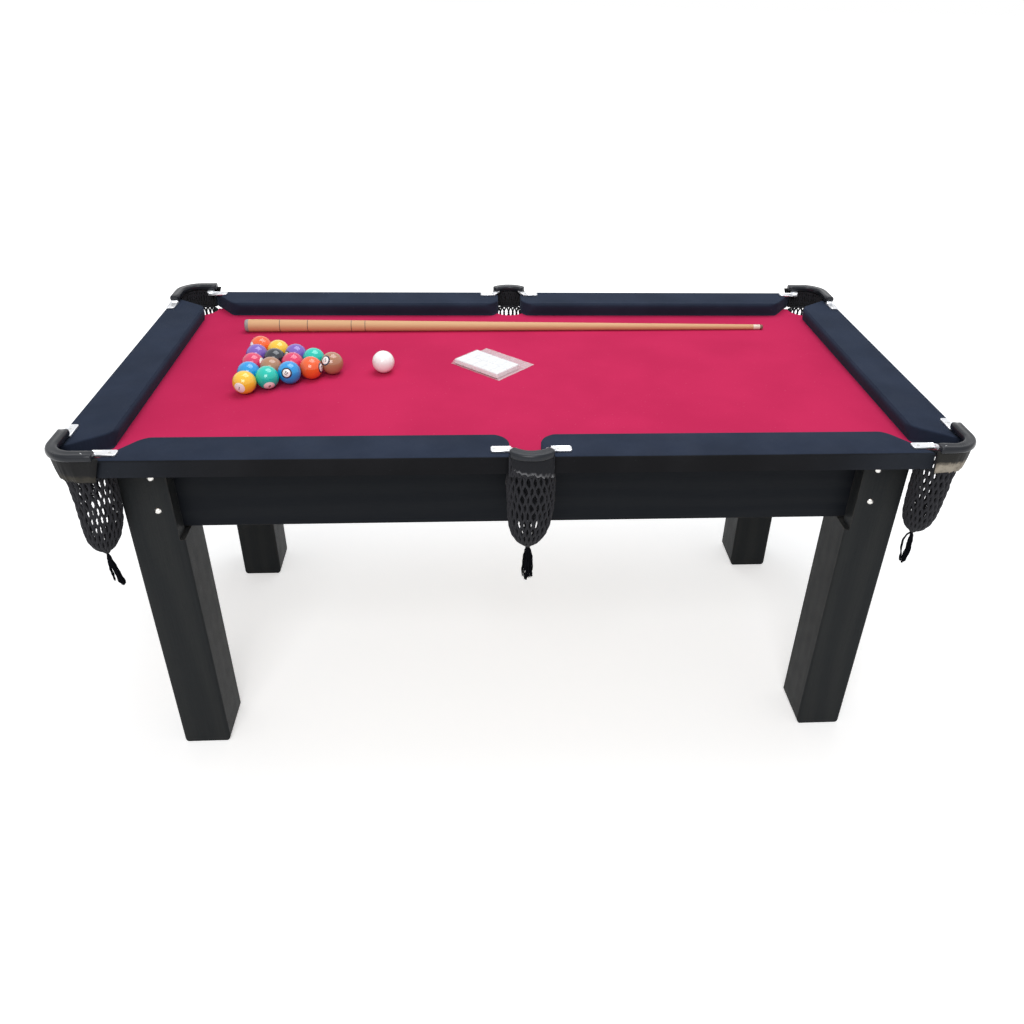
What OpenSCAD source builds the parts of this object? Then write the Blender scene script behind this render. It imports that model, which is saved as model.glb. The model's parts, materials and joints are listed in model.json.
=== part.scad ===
// Six-pocket pool table with cloth-covered rails, net pockets, balls, a cue and a packet of chalk.
// Frame: millimetres, origin on the floor under the middle of the table, X along the table,
// Y towards its back, Z up.

/* [Table] */
// Length over the outside of the end rails
table_l = 1766; // [1600:1:2200]
// Width over the outside of the long rails
table_w = 940; // [860:1:1250]
// Height of the rail tops above the floor
table_h = 800; // [700:1:950]

/* [Bed] */
// Thickness of the bed slab
slab_t = 18; // [15:1:28]
// How far the slab's edge lies inside the rails' outer edge
slab_inset = 33; // [30:0.5:40]
// Thickness of the cloth on the bed and on the rails
cloth_t = 1; // [0.6:0.1:1.5]

/* [Rails] */
// Width of a rail from its outer edge to the cushion's nose
rail_w = 95; // [85:0.5:110]
// Height of a rail above the cloth
rail_t = 35; // [32:0.5:42]
// Width of the rubber cushion strip, nose to wooden core
rubber_w = 26; // [20:0.5:32]
// How far the cushion's foot lies behind its nose
nose_undercut = 8; // [4:0.5:14]

/* [Pockets] */
// Half the gap between the two rails at a middle pocket
middle_mouth = 30.5; // [28:0.5:38]
// Radius of the rounded jaw at a middle pocket
middle_jaw_r = 40; // [30:1:50]
// Along X, from a corner pocket's centre back to the long rail's outer corner
jaw_long_gap = 30.6; // [28:0.1:40]
// Along Y, from a corner pocket's centre back to the end rail's outer corner
jaw_end_gap = 6; // [5:0.5:15]
// Angle between a rail's nose and its jaw
jaw_angle = 54; // [48:1:60]
// Radius that rounds a corner jaw
jaw_r = 45; // [30:1:55]
// Corner pocket centre, in from the table's end
corner_in_x = 60; // [56:0.5:66]
// Corner pocket centre, in from the table's side
corner_in_y = 42; // [38:0.5:48]
// Middle pocket centre, in from the table's side
middle_in_y = 39.5; // [36:0.5:46]
// Radius of the hole that a pocket makes in the slab
hole_r = 43.8; // [43:0.1:46]

/* [Collars] */
// How far the middle of a corner lip stands out past the edge of its hole
corner_lip_out = 4.2; // [2.2:0.1:6.2]
// How far the middle of a middle lip stands out past the edge of its hole
middle_lip_out = 9.2; // [6.2:0.1:12.2]
// Width of the collar's lip
lip_w = 23; // [20:0.5:25]
// Height of the collar's lip
lip_h = 15; // [13:0.5:18]
// Air between the rails' top and the underside of a corner lip
corner_lip_air = 5; // [2:0.5:8]
// Air between the rails' top and the underside of a middle lip
middle_lip_air = 1; // [0.5:0.5:4]
// Wall of the collar's skirt
skirt_t = 4; // [3:0.5:5]
// How far the skirt reaches below the net's hem
skirt_lap = 6; // [4:0.5:10]
// How far the skirt draws in from its top to its foot
skirt_taper = 7; // [4:0.5:8]

/* [Pocket irons] */
// Width of the bar that runs inside a lip
bar_w = 12; // [8:0.5:14]
// Thickness of the bar that runs inside a lip
bar_t = 6; // [4:0.5:7]
// Length of an ear on a corner pocket
ear_l = 47; // [40:0.5:55]
// Length of an ear on a middle pocket
middle_ear_l = 37; // [30:0.5:42]
// Width of an ear
ear_w = 20; // [16:0.5:24]
// Thickness of an ear
ear_t = 5; // [4:0.5:7]

/* [Nets] */
// Wall of a net, which stands in for knotted cord
net_t = 3; // [2:0.5:4]
// Depth of a net from its hem to its knot
net_depth = 190; // [150:1:210]
// Length of the tassel under the knot
tassel_l = 84; // [50:1:95]

/* [Frame] */
// Thickness of an apron board
apron_t = 20; // [18:1:25]
// Height of an apron board
apron_h = 160; // [120:1:200]
// Thickness of a cross bearer
bearer_t = 20; // [16:1:30]
// Height of a cross bearer
bearer_h = 70; // [50:1:100]
// Side of a corner block
block_w = 45; // [40:1:60]
// Height of a corner block
block_h = 140; // [120:1:155]

/* [Legs] */
// Width of a leg along X
leg_w = 105; // [90:1:125]
// Width of a leg along Y
leg_d = 120; // [100:1:140]
// Thickness of the two cheeks that stand outside the aprons
cheek_t = 37; // [30:1:45]
// How far a cheek's free edge is cut back from the post under it
cheek_cut = 9; // [5:1:15]
// Air between a leg's outer corner and the net beside it
leg_air = 3; // [2:0.5:10]
// How far the leg's shoulder lies below the aprons
shoulder_drop = 11; // [4:1:20]
// Radius that rounds the two sides of a leg's foot
foot_r = 14; // [5:1:20]
// Radius that eases the front and the back of a leg's foot
foot_ease = 3; // [2:0.5:8]
// Radius that eases the leg's upright edges
edge_r = 5; // [2:0.5:8]

/* [Fasteners] */
// Shank radius of a leg bolt
leg_bolt_r = 4; // [3:0.5:5]
// Head radius of a leg bolt
leg_head_r = 7; // [6:0.5:8]
// Height of a leg bolt's domed head
leg_head_h = 4; // [3:0.5:5]
// Width across the flats of a leg nut
nut_af = 13; // [11:0.5:14]
// Shank radius of a rail bolt
rail_bolt_r = 4; // [3:0.5:4.5]
// Shank radius of an ear bolt
ear_bolt_r = 3; // [2.5:0.5:3.5]
// Shank radius of a slab screw
slab_screw_r = 2.5; // [2:0.5:3]
// Radial clearance of a bolt or screw in its hole
bolt_gap = 0.1; // [0.05:0.05:0.3]

/* [Balls] */
// Diameter of a ball
ball_d = 50.8; // [48:0.1:57.2]
// Gap between neighbours in the rack
ball_gap = 0.3; // [0.3:0.1:1]
// Gap between what lies on the bed and the cloth
rest_gap = 0.3; // [0.2:0.05:0.5]
// X of the middle ball in the rack's last row
rack_x = -597.5; // [-640:0.5:-500]
// Y of the middle ball in the rack's last row
rack_y = -3; // [-40:0.5:40]
// Turn of the rack about the vertical
rack_turn = 0.9; // [-2:0.1:2]
// Place of the cue ball along X
cue_ball_x = -305; // [-320:0.5:-280]
// Place of the cue ball along Y
cue_ball_y = 7; // [-20:0.5:20]

/* [Cue] */
// Length of the cue
cue_l = 1337; // [1200:1:1400]
// Diameter at the butt
cue_butt_d = 31; // [28:0.5:34]
// Diameter at the tip
cue_tip_d = 12.5; // [10:0.5:14]
// X of the butt's end
cue_x = -672; // [-690:1:-650]
// Y of the butt's end
cue_y = 266; // [240:1:280]
// Turn of the cue about the vertical
cue_turn = 0.6; // [-1:0.1:1]
// Length of the rubber bumper
bumper_l = 10; // [8:1:20]
// Length of the ferrule
ferrule_l = 18; // [12:1:25]
// Length of the leather tip
tip_l = 9; // [6:0.5:12]

/* [Chalk packet] */
// X of the middle of the packet
packet_x = -53; // [-80:1:-20]
// Y of the packet's middle
packet_y = 52; // [20:1:80]
// Turn of the packet about the vertical
packet_turn = -43; // [-60:1:-20]
// Width of the sealed edge at each end of the bag
bag_seal = 9.2; // [4:0.2:15]
// Width of the bag's empty flap
flap_w = 45.2; // [20:0.2:60]
// Thickness of the bag's film and of its sealed edge
film_t = 0.8; // [0.5:0.1:1.2]
// Chalk blocks along the bag
chalk_n = 5; // [3:1:6]
// Rows of chalk blocks across the bag
chalk_rows = 2; // [1:1:2]
// Length of a chalk block
chalk_l = 26; // [20:0.5:27]
// Width of a chalk block
chalk_w = 38; // [30:0.5:42]
// Height of a chalk block
chalk_h = 12; // [8:0.5:16]

/* [Hidden] */
$fn = 64;
eps = 0.01;

// Half sizes of the table and the levels that everything stands on
half_l = table_l / 2;
half_w = table_w / 2;
cloth_top = table_h - rail_t;
slab_top = cloth_top - cloth_t;
slab_bottom = slab_top - slab_t;
slab_half_l = half_l - slab_inset;
slab_half_w = half_w - slab_inset;

// Rail section: the wooden core, the bevel of the outer edge, and the nose's drop below the top
core_w = rail_w - rubber_w;
rail_bevel = 3;
nose_top_drop = 4;
nose_foot_drop = 11;
// How far a bevel moves for each millimetre that the section is drawn in
bevel_draw = 0.4;

// Pockets, in the quarter where X and Y are positive
corner_c = [half_l - corner_in_x, half_w - corner_in_y];
middle_c = [0, half_w - middle_in_y];
corner_lip_r = hole_r + corner_lip_out;
middle_lip_r = hole_r + middle_lip_out;

// Jaws: the sharp corner's place along each rail, from the middle of the table
jaw_run = rail_w / tan(jaw_angle);
jaw_long_u = corner_c[0] - jaw_long_gap - jaw_run;
jaw_end_u = corner_c[1] - jaw_end_gap - jaw_run;
jaw_tangent = jaw_r * tan(jaw_angle / 2);
arc_steps = 8;

// Nets: how deep each bend lies, as a share of the net's depth, and how far it has drawn in
net_r = hole_r - 0.3;
net_top = slab_top - 1;
net_bends = [[0, 0], [0.05, 0], [0.34, 1.5], [0.69, 5], [0.85, 12.5]];
net_floor_rise = 12;
knot_r = 7;
knot_h = 8;

// Skirts: clear of the hole in the slab and of the rails' outer edge
skirt_air = 0.2;
rail_air = 0.3;
skirt_foot_r = hole_r + skirt_air + skirt_t;
skirt_top_r = skirt_foot_r + skirt_taper;
skirt_foot = net_top - skirt_lap;
skirt_end_arm = 4;

// Webs: they join an iron's bar to its ears, at these distances from the pocket's centre
web_l = 10;
corner_web_in = [23, 51];
corner_web_x = corner_c[0] - corner_web_in[0];
corner_web_y = corner_c[1] - corner_web_in[1];
middle_web_x = middle_lip_r - 13;

// Lips: their tops, and the arms that run on from a corner's quarter turn to the webs
lip_chamfer = 3;
corner_top = table_h + corner_lip_air + lip_h;
middle_top = table_h + middle_lip_air + lip_h;
middle_lip_y = middle_c[1] + sqrt(pow(middle_lip_r, 2) - pow(middle_web_x, 2));

// A middle skirt starts at the rails' outer edge, or at its lip's ends where they are further out
middle_skirt_y = max(half_w + rail_air, middle_lip_y);

// Ears: their middles across the rail
ear_long_y = half_w - 24;
ear_middle_y = half_w - 25;
ear_end_x = half_l - 12;

// Ear bolts: their distance from the ear's free end, or from the web on a middle pocket
ear_long_bolt_in = 13;
ear_end_bolt_in = 19;
ear_middle_bolt_out = 20;
ear_long_bolt_x = corner_web_x - ear_l + ear_long_bolt_in;
ear_end_bolt_y = corner_web_y - ear_l + ear_end_bolt_in;
ear_middle_bolt_x = middle_web_x + ear_middle_bolt_out;
ear_bolt_head_r = 5;
ear_bolt_head_h = 4;
// Air past the end of a bolt in its blind hole
bolt_end_gap = 1;

// Legs: a leg's outer corner clears the net, and its cheeks stand outside the aprons
leg_off = round(10 * ((net_r + leg_air + edge_r) / sqrt(2) - edge_r)) / 10;
leg_x = corner_c[0] - leg_off;
leg_y = corner_c[1] - leg_off;

// Frame
apron_y = leg_y - cheek_t;
apron_x = leg_x - cheek_t;
apron_bottom = slab_bottom - apron_h;
shoulder = apron_bottom - shoulder_drop;
bearer_xs = [for (share = [-0.5, 0, 0.5]) share * apron_x];
block_drop = 6;

// Leg bolts: their distance in from the apron's outer corner, and their levels
bolt_in = apron_t + 8.5;
front_bolt_zs = [slab_bottom - 26, slab_bottom - 101];
side_bolt_zs = [slab_bottom - 46, slab_bottom - 121];
bolt_grip = cheek_t + apron_t + block_w;
bolt_end = 3;
nut_h = 6.5;

// Rail bolts: how far each stands from the cushion's rubber, and how far it runs up
rail_bolt_v = core_w - 14;
rail_bolt_up = slab_t + cloth_t + rail_t - 10;
rail_head_h = 5;
rail_bolt_us = [for (share = [0.18, 0.55, 0.9]) share * jaw_long_u];
end_bolt_us = [for (share = [-0.65, 0, 0.65]) share * jaw_end_u];

// Slab screws
slab_screw_l = 45;
slab_screw_xs = [for (share = [-0.74, -0.25, 0.25, 0.74]) share * apron_x];
slab_screw_ys = [for (share = [-0.42, 0.42]) share * apron_y];

// Balls: the rack's rows run from the last one, with five balls, to the single ball in front
ball_r = ball_d / 2;
ball_step = ball_d + ball_gap;
ball_z = cloth_top + rest_gap + ball_r;
rack_rows = 5;
// Number of the first ball in each row, counted from the front of the table
row_first = [1, 6, 10, 13, 15];
ball_colours = ["gold", "dodgerblue", "crimson", "mediumpurple", "orangered", "turquoise",
  "rosybrown", "black"];

// Cue: it tapers evenly, and its lowest line lies level
cue_taper = atan((cue_butt_d - cue_tip_d) / 2 / cue_l);
cue_axis_z = cloth_top + rest_gap + cue_butt_d / 2 * cos(cue_taper);

// Chalk packet: the space inside the film, and how far it lies from the bag's front edge
chalk_air = 0.6;
packet_z = cloth_top + rest_gap;
fill_l = chalk_n * (chalk_l + chalk_air) + chalk_air;
fill_w = chalk_rows * (chalk_w + chalk_air) + chalk_air;
fill_h = chalk_h + 2 * chalk_air;
fill_edge = 4;
bag_l = fill_l + 2 * bag_seal;
bag_w = fill_edge + fill_w + flap_w;

// ---------- shared shapes ----------

// Points of an arc about c with radius r from angle a0 to a1
function arc(c, r, a0, a1) = [for (i = [0 : arc_steps])
  let (a = a0 + (a1 - a0) * i / arc_steps) [c[0] + r * cos(a), c[1] + r * sin(a)]];

// Draws its children in all four corners of the table
module four_corners() {
  for (sx = [0, 1], sy = [0, 1]) mirror([sx, 0, 0]) mirror([0, sy, 0]) children();
}

// Draws its children at the front and at the back
module front_and_back() {
  for (sy = [0, 1]) mirror([0, sy, 0]) children();
}

// Moves a shape made for the right-hand back quarter to the quarter that sx and sy name
module to_quarter(sx, sy) {
  mirror([sx < 0 ? 1 : 0, 0, 0]) mirror([0, sy < 0 ? 1 : 0, 0]) children();
}

// ---------- rails ----------

// A corner jaw's outline, from the nose line to the rail's outer edge, drawn in by d.
// u runs along the rail and v from its outer edge to its nose.
function corner_jaw(u, d) =
  let (c = [u - jaw_tangent, rail_w - jaw_r],
       turn = arc(c, jaw_r - d, 90, 90 - jaw_angle),
       last = turn[arc_steps])
  concat(turn, [[last[0] + (last[1] - d) / tan(jaw_angle), d]]);

// A middle jaw's outline, from the rail's outer edge to the nose line, drawn in by d
function middle_jaw(d) =
  let (c = [middle_mouth + middle_jaw_r, rail_w - middle_jaw_r])
  concat([[middle_mouth + d, d]], arc(c, middle_jaw_r - d, 180, 90));

// The same outline turned end for end
function mirrored(points) = [for (i = [len(points) - 1 : -1 : 0]) [-points[i][0], points[i][1]]];

function long_outline(d) = concat(middle_jaw(d), corner_jaw(jaw_long_u, d));
function end_outline(d) = concat(mirrored(corner_jaw(jaw_end_u, d)), corner_jaw(jaw_end_u, d));

// A rail's section, drawn in by d except at its foot
module rail_section(d) {
  bevel = rail_bevel + d * bevel_draw;
  nose_drop = nose_top_drop + d * bevel_draw;
  polygon([
    [d, cloth_top], [d, table_h - bevel], [bevel, table_h - d],
    [rail_w - nose_drop, table_h - d], [rail_w - d, table_h - nose_drop],
    [rail_w - d, table_h - nose_foot_drop], [rail_w - nose_undercut - d, cloth_top]
  ]);
}

// A whole rail in its own u, v frame, drawn in by d
module rail_solid(outline, d) {
  intersection() {
    translate([0, 0, cloth_top]) linear_extrude(rail_t) polygon(outline);
    translate([-half_l, 0, 0]) rotate([90, 0, 90]) linear_extrude(table_l) rail_section(d);
  }
}

// Puts a rail's u, v frame at the back, or at the right-hand end
module at_back() {
  translate([0, half_w, 0]) mirror([0, 1, 0]) children();
}

module at_end() {
  translate([half_l, 0, 0]) rotate([0, 0, 90]) children();
}

// Holes that bolts make in the rails of one quarter
module long_rail_holes() {
  for (u = rail_bolt_us) translate([u, half_w - rail_bolt_v, slab_bottom - 1])
    cylinder(r = rail_bolt_r + bolt_gap, h = rail_bolt_up + 1 + bolt_end_gap);
  translate([ear_long_bolt_x, ear_long_y, 0]) ear_bolt_hole();
  translate([ear_middle_bolt_x, ear_middle_y, 0]) ear_bolt_hole();
}

module end_rail_holes() {
  for (u = end_bolt_us) translate([half_l - rail_bolt_v, u, slab_bottom - 1])
    cylinder(r = rail_bolt_r + bolt_gap, h = rail_bolt_up + 1 + bolt_end_gap);
  for (sy = [-1, 1]) translate([ear_end_x, sy * ear_end_bolt_y, 0]) ear_bolt_hole();
}

module ear_bolt_hole() {
  translate([0, 0, cloth_top - 1])
    cylinder(r = ear_bolt_r + bolt_gap, h = rail_t + ear_t);
}

module long_rail_core(sx, sy) {
  color("burlywood") to_quarter(sx, sy) difference() {
    at_back() intersection() {
      rail_solid(long_outline(cloth_t), cloth_t);
      translate([0, 0, cloth_top - 1]) cube([half_l, core_w, rail_t + 2]);
    }
    long_rail_holes();
  }
}

module end_rail_core(sx) {
  color("burlywood") to_quarter(sx, 1) difference() {
    at_end() intersection() {
      rail_solid(end_outline(cloth_t), cloth_t);
      translate([-half_w, 0, cloth_top - 1]) cube([table_w, core_w, rail_t + 2]);
    }
    end_rail_holes();
  }
}

module cushion_strip(outline) {
  intersection() {
    rail_solid(outline, cloth_t);
    translate([-half_l, core_w, cloth_top - 1]) cube([table_l, rubber_w, rail_t + 2]);
  }
}

module cushion_rubbers() {
  color("dimgray") {
    four_corners() at_back() cushion_strip(long_outline(cloth_t));
    for (sx = [1, -1]) to_quarter(sx, 1) at_end() cushion_strip(end_outline(cloth_t));
  }
}

module rail_cloths() {
  color("midnightblue") {
    four_corners() difference() {
      at_back() difference() {
        rail_solid(long_outline(0), 0);
        rail_solid(long_outline(cloth_t), cloth_t);
      }
      long_rail_holes();
    }
    for (sx = [1, -1]) to_quarter(sx, 1) difference() {
      at_end() difference() {
        rail_solid(end_outline(0), 0);
        rail_solid(end_outline(cloth_t), cloth_t);
      }
      end_rail_holes();
    }
  }
}

// ---------- bed ----------

// The holes and notches that the six pockets make in the bed
module pocket_holes() {
  four_corners() translate([corner_c[0], corner_c[1], slab_bottom - 1])
    cylinder(r = hole_r, h = slab_t + cloth_t + 2);
  front_and_back() translate([middle_c[0], middle_c[1], slab_bottom - 1])
    cylinder(r = hole_r, h = slab_t + cloth_t + 2);
}

module rail_bolt_holes() {
  four_corners() long_rail_holes();
  for (sx = [1, -1]) to_quarter(sx, 1) end_rail_holes();
}

// Places of the slab screws, down into the aprons
module at_slab_screws() {
  for (x = slab_screw_xs, sy = [-1, 1]) translate([x, sy * (apron_y - apron_t / 2), slab_top])
    children();
  for (y = slab_screw_ys, sx = [-1, 1]) translate([sx * (apron_x - apron_t / 2), y, slab_top])
    children();
}

module slab_screw(gap) {
  translate([0, 0, -slab_screw_l - gap]) cylinder(r = slab_screw_r + gap, h = slab_screw_l + gap);
  translate([0, 0, -slab_screw_r - gap])
    cylinder(r1 = slab_screw_r + gap, r2 = 2 * slab_screw_r + gap, h = slab_screw_r + gap);
}

module bed_slab() {
  color("peru") difference() {
    translate([-slab_half_l, -slab_half_w, slab_bottom])
      cube([2 * slab_half_l, 2 * slab_half_w, slab_t]);
    pocket_holes();
    rail_bolt_holes();
    at_slab_screws() slab_screw(bolt_gap);
  }
}

// The cloth lies on the slab and turns down over its edges
module bed_cloth() {
  color("crimson") difference() {
    translate([-slab_half_l - cloth_t, -slab_half_w - cloth_t, slab_bottom])
      cube([2 * (slab_half_l + cloth_t), 2 * (slab_half_w + cloth_t), slab_t + cloth_t]);
    translate([-slab_half_l, -slab_half_w, slab_bottom - 1])
      cube([2 * slab_half_l, 2 * slab_half_w, slab_t + 1]);
    pocket_holes();
    rail_bolt_holes();
  }
}

// ---------- pocket collars and irons ----------

// Section of a lip, r from the pocket's centre, with its top at the given height
module lip_section(r, top) {
  c = lip_chamfer;
  r0 = r - lip_w / 2;
  r1 = r + lip_w / 2;
  polygon([[r0 + c, top - lip_h], [r0, top - lip_h + c], [r0, top - c], [r0 + c, top],
    [r1 - c, top], [r1, top - c], [r1, top - lip_h + c], [r1 - c, top - lip_h]]);
}

// Section of a skirt, which hangs from a lip's underside
module skirt_section(top) {
  z = top - lip_h + eps;
  polygon([[skirt_top_r, z], [skirt_foot_r, skirt_foot], [skirt_foot_r - skirt_t, skirt_foot],
    [skirt_top_r - skirt_t, z]]);
}

// Section of the bar inside a lip
module bar_section(r, top) {
  translate([r - bar_w / 2, top - lip_h / 2 - bar_t / 2]) square([bar_w, bar_t]);
}

// Turns a section through the corner's quarter, with a straight arm to each side
module corner_sweep(long_arm, end_arm) {
  translate([corner_c[0], corner_c[1], 0]) {
    rotate_extrude(angle = 90) children();
    translate([-long_arm, 0, 0]) rotate([90, 0, 90]) linear_extrude(long_arm) children();
    rotate([90, 0, 0]) linear_extrude(end_arm) children();
  }
}

// Turns a section about a middle pocket, and keeps what lies in front of the line y
module middle_sweep(y) {
  intersection() {
    translate([middle_c[0], middle_c[1], 0]) rotate_extrude() children();
    translate([-half_l, y, 0]) cube([table_l, table_w, table_h + 100]);
  }
}

// The bar inside a corner lip; it reaches a hair into the two webs
module corner_bar() {
  corner_sweep(corner_web_in[0] + eps, corner_web_in[1] + eps) bar_section(corner_lip_r, corner_top);
}

module middle_bar() {
  middle_sweep(middle_lip_y - eps) bar_section(middle_lip_r, middle_top);
}

module corner_collar(sx, sy) {
  color("dimgray") to_quarter(sx, sy) difference() {
    union() {
      corner_sweep(corner_web_in[0], corner_web_in[1]) lip_section(corner_lip_r, corner_top);
      corner_sweep(corner_web_in[0], skirt_end_arm) skirt_section(corner_top);
    }
    corner_bar();
  }
}

module middle_collar(sy) {
  color("dimgray") to_quarter(1, sy) difference() {
    union() {
      middle_sweep(middle_lip_y) lip_section(middle_lip_r, middle_top);
      middle_sweep(middle_skirt_y) skirt_section(middle_top);
    }
    middle_bar();
  }
}

// One corner casting: a bar round the pocket, a web at each end and an ear on each rail
module corner_iron() {
  web_h = corner_top - lip_h / 2 + bar_t / 2 - table_h;
  long_ear_front = ear_long_y - ear_w / 2;
  end_ear_inner = ear_end_x - ear_w / 2;
  bar_outer = corner_lip_r + bar_w / 2;
  end_web_w = max(ear_w, corner_c[0] + bar_outer - end_ear_inner);
  difference() {
    union() {
      corner_bar();
      translate([corner_web_x - web_l, long_ear_front, table_h])
        cube([web_l, corner_c[1] + bar_outer - long_ear_front, web_h]);
      translate([corner_web_x - ear_l, long_ear_front, table_h]) cube([ear_l, ear_w, ear_t]);
      translate([end_ear_inner, corner_web_y - web_l, table_h]) cube([end_web_w, web_l, web_h]);
      translate([end_ear_inner, corner_web_y - ear_l, table_h]) cube([ear_w, ear_l, ear_t]);
    }
    translate([ear_long_bolt_x, ear_long_y, 0]) ear_thread();
    translate([ear_end_x, ear_end_bolt_y, 0]) ear_thread();
  }
}

// One middle casting, with an ear on each side of the mouth
module middle_iron() {
  web_h = middle_top - lip_h / 2 + bar_t / 2 - table_h;
  ear_front = ear_middle_y - ear_w / 2;
  difference() {
    union() {
      middle_bar();
      for (sx = [0, 1]) mirror([sx, 0, 0]) {
        translate([middle_web_x - web_l / 2, ear_front, table_h])
          cube([web_l, middle_lip_y - ear_front, web_h]);
        translate([middle_web_x - web_l / 2, ear_front, table_h])
          cube([middle_ear_l + web_l / 2, ear_w, ear_t]);
      }
    }
    for (sx = [-1, 1]) translate([sx * ear_middle_bolt_x, ear_middle_y, 0]) ear_thread();
  }
}

// The blind hole under an ear
module ear_thread() {
  translate([0, 0, table_h - 1])
    cylinder(r = ear_bolt_r + bolt_gap, h = ear_t + 1 - bolt_end_gap / 2);
}

module pocket_irons() {
  color("silver") {
    four_corners() corner_iron();
    front_and_back() middle_iron();
  }
}

module ear_bolt() {
  translate([0, 0, cloth_top - ear_bolt_head_h]) cylinder(r = ear_bolt_head_r, h = ear_bolt_head_h);
  translate([0, 0, cloth_top - eps])
    cylinder(r = ear_bolt_r, h = rail_t + ear_t - bolt_end_gap + eps);
}

module ear_bolts() {
  color("gray") {
    four_corners() {
      translate([ear_long_bolt_x, ear_long_y, 0]) ear_bolt();
      translate([ear_end_x, ear_end_bolt_y, 0]) ear_bolt();
      translate([ear_middle_bolt_x, ear_middle_y, 0]) ear_bolt();
    }
  }
}

module rail_bolt() {
  translate([0, 0, slab_bottom - rail_head_h])
    cylinder(r = nut_af / 2, h = rail_head_h, $fn = 6);
  translate([0, 0, slab_bottom - eps]) cylinder(r = rail_bolt_r, h = rail_bolt_up + eps);
}

module rail_bolts() {
  color("gray") {
    four_corners() for (u = rail_bolt_us) translate([u, half_w - rail_bolt_v, 0]) rail_bolt();
    for (sx = [-1, 1], u = end_bolt_us) translate([sx * (half_l - rail_bolt_v), u, 0]) rail_bolt();
  }
}

module slab_screws() {
  color("goldenrod") at_slab_screws() slab_screw(0);
}

// ---------- nets ----------

// A net: an open bag that narrows to a knot, with a tassel under it
module pocket_net(c) {
  knot = net_top - net_depth;
  outer = [for (b = net_bends) [net_r - b[1], net_top - b[0] * net_depth]];
  inner = [for (i = [len(outer) - 1 : -1 : 0]) outer[i] - [net_t, 0]];
  tassel = [
    [knot_r + net_t, knot + knot_h], [knot_r, knot], [knot_r - 2, knot - tassel_l],
    [0, knot - tassel_l], [0, knot + net_floor_rise]
  ];
  translate([c[0], c[1], 0]) rotate_extrude() polygon(concat(outer, tassel, inner));
}

module corner_net(sx, sy) {
  color("black") to_quarter(sx, sy) pocket_net(corner_c);
}

module middle_net(sy) {
  color("black") to_quarter(1, sy) pocket_net(middle_c);
}

// ---------- frame and legs ----------

// All bolt holes of the frame's four corners
module leg_bolt_holes() {
  four_corners() at_leg_bolts() translate([0, 0, -1])
    cylinder(r = leg_bolt_r + bolt_gap, h = bolt_grip + 2);
}

// Puts a bolt drawn down +Z at each place in one corner, with its head on the cheek's face
module at_leg_bolts() {
  for (z = front_bolt_zs) translate([apron_x - bolt_in, leg_y, z]) rotate([90, 0, 0]) children();
  for (z = side_bolt_zs) translate([leg_x, apron_y - bolt_in, z]) rotate([0, -90, 0]) children();
}

module long_apron(sy) {
  color("#1c1d20") to_quarter(1, sy) difference() {
    translate([-apron_x, apron_y - apron_t, apron_bottom]) cube([2 * apron_x, apron_t, apron_h]);
    leg_bolt_holes();
    at_slab_screws() slab_screw(bolt_gap);
  }
}

module end_apron(sx) {
  color("#1c1d20") to_quarter(sx, 1) difference() {
    translate([apron_x - apron_t, apron_t - apron_y, apron_bottom])
      cube([apron_t, 2 * (apron_y - apron_t), apron_h]);
    leg_bolt_holes();
    at_slab_screws() slab_screw(bolt_gap);
  }
}

// A leg: a square post with a rounded foot, whose top is cut back to two cheeks
module leg(sx, sy) {
  color("#26272a") to_quarter(sx, sy) difference() {
    intersection() {
      translate([leg_x - leg_w, leg_y - leg_d, 0]) linear_extrude(slab_bottom)
        eased_rectangle(leg_w, leg_d);
      translate([leg_x - leg_w, leg_y + 1, 0]) rotate([90, 0, 0]) linear_extrude(leg_d + 2)
        footed_rectangle(leg_w, foot_r);
      translate([leg_x - leg_w - 1, leg_y - leg_d, 0]) rotate([90, 0, 90]) linear_extrude(leg_w + 2)
        footed_rectangle(leg_d, foot_ease);
    }
    translate([leg_x - leg_w - 1, leg_y - leg_d - 1, shoulder])
      cube([leg_w - cheek_t + 1, leg_d - cheek_t + 1, table_h]);
    translate([leg_x - leg_w - 1, leg_y - leg_d - 1, shoulder])
      cube([cheek_cut + 1, leg_d + 2, table_h]);
    translate([leg_x - leg_w - 1, leg_y - leg_d - 1, shoulder])
      cube([leg_w + 2, cheek_cut + 1, table_h]);
    leg_bolt_holes();
  }
}

// A rectangle with all four corners rounded
module eased_rectangle(w, d) {
  polygon(concat(
    arc([edge_r, edge_r], edge_r, 180, 270), arc([w - edge_r, edge_r], edge_r, 270, 360),
    arc([w - edge_r, d - edge_r], edge_r, 0, 90), arc([edge_r, d - edge_r], edge_r, 90, 180)));
}

// A leg's outline seen from one side, with its two bottom corners rounded
module footed_rectangle(w, r) {
  polygon(concat(
    arc([r, r], r, 180, 270), arc([w - r, r], r, 270, 360),
    [[w, slab_bottom], [0, slab_bottom]]));
}

module cross_bearers() {
  color("tan") for (x = bearer_xs)
    translate([x - bearer_t / 2, apron_t - apron_y, slab_bottom - bearer_h])
      cube([bearer_t, 2 * (apron_y - apron_t), bearer_h]);
}

module corner_blocks() {
  inner = [apron_x - apron_t - block_w, apron_y - apron_t - block_w];
  color("tan") difference() {
    four_corners() translate([inner[0], inner[1], slab_bottom - block_h - block_drop])
      cube([block_w, block_w, block_h]);
    leg_bolt_holes();
  }
}

module domed_head() {
  dome_r = (pow(leg_head_r, 2) + pow(leg_head_h, 2)) / 2 / leg_head_h;
  intersection() {
    translate([0, 0, leg_head_h - dome_r]) sphere(r = dome_r);
    cylinder(r = leg_head_r + 1, h = leg_head_h + 1);
  }
}

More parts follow.
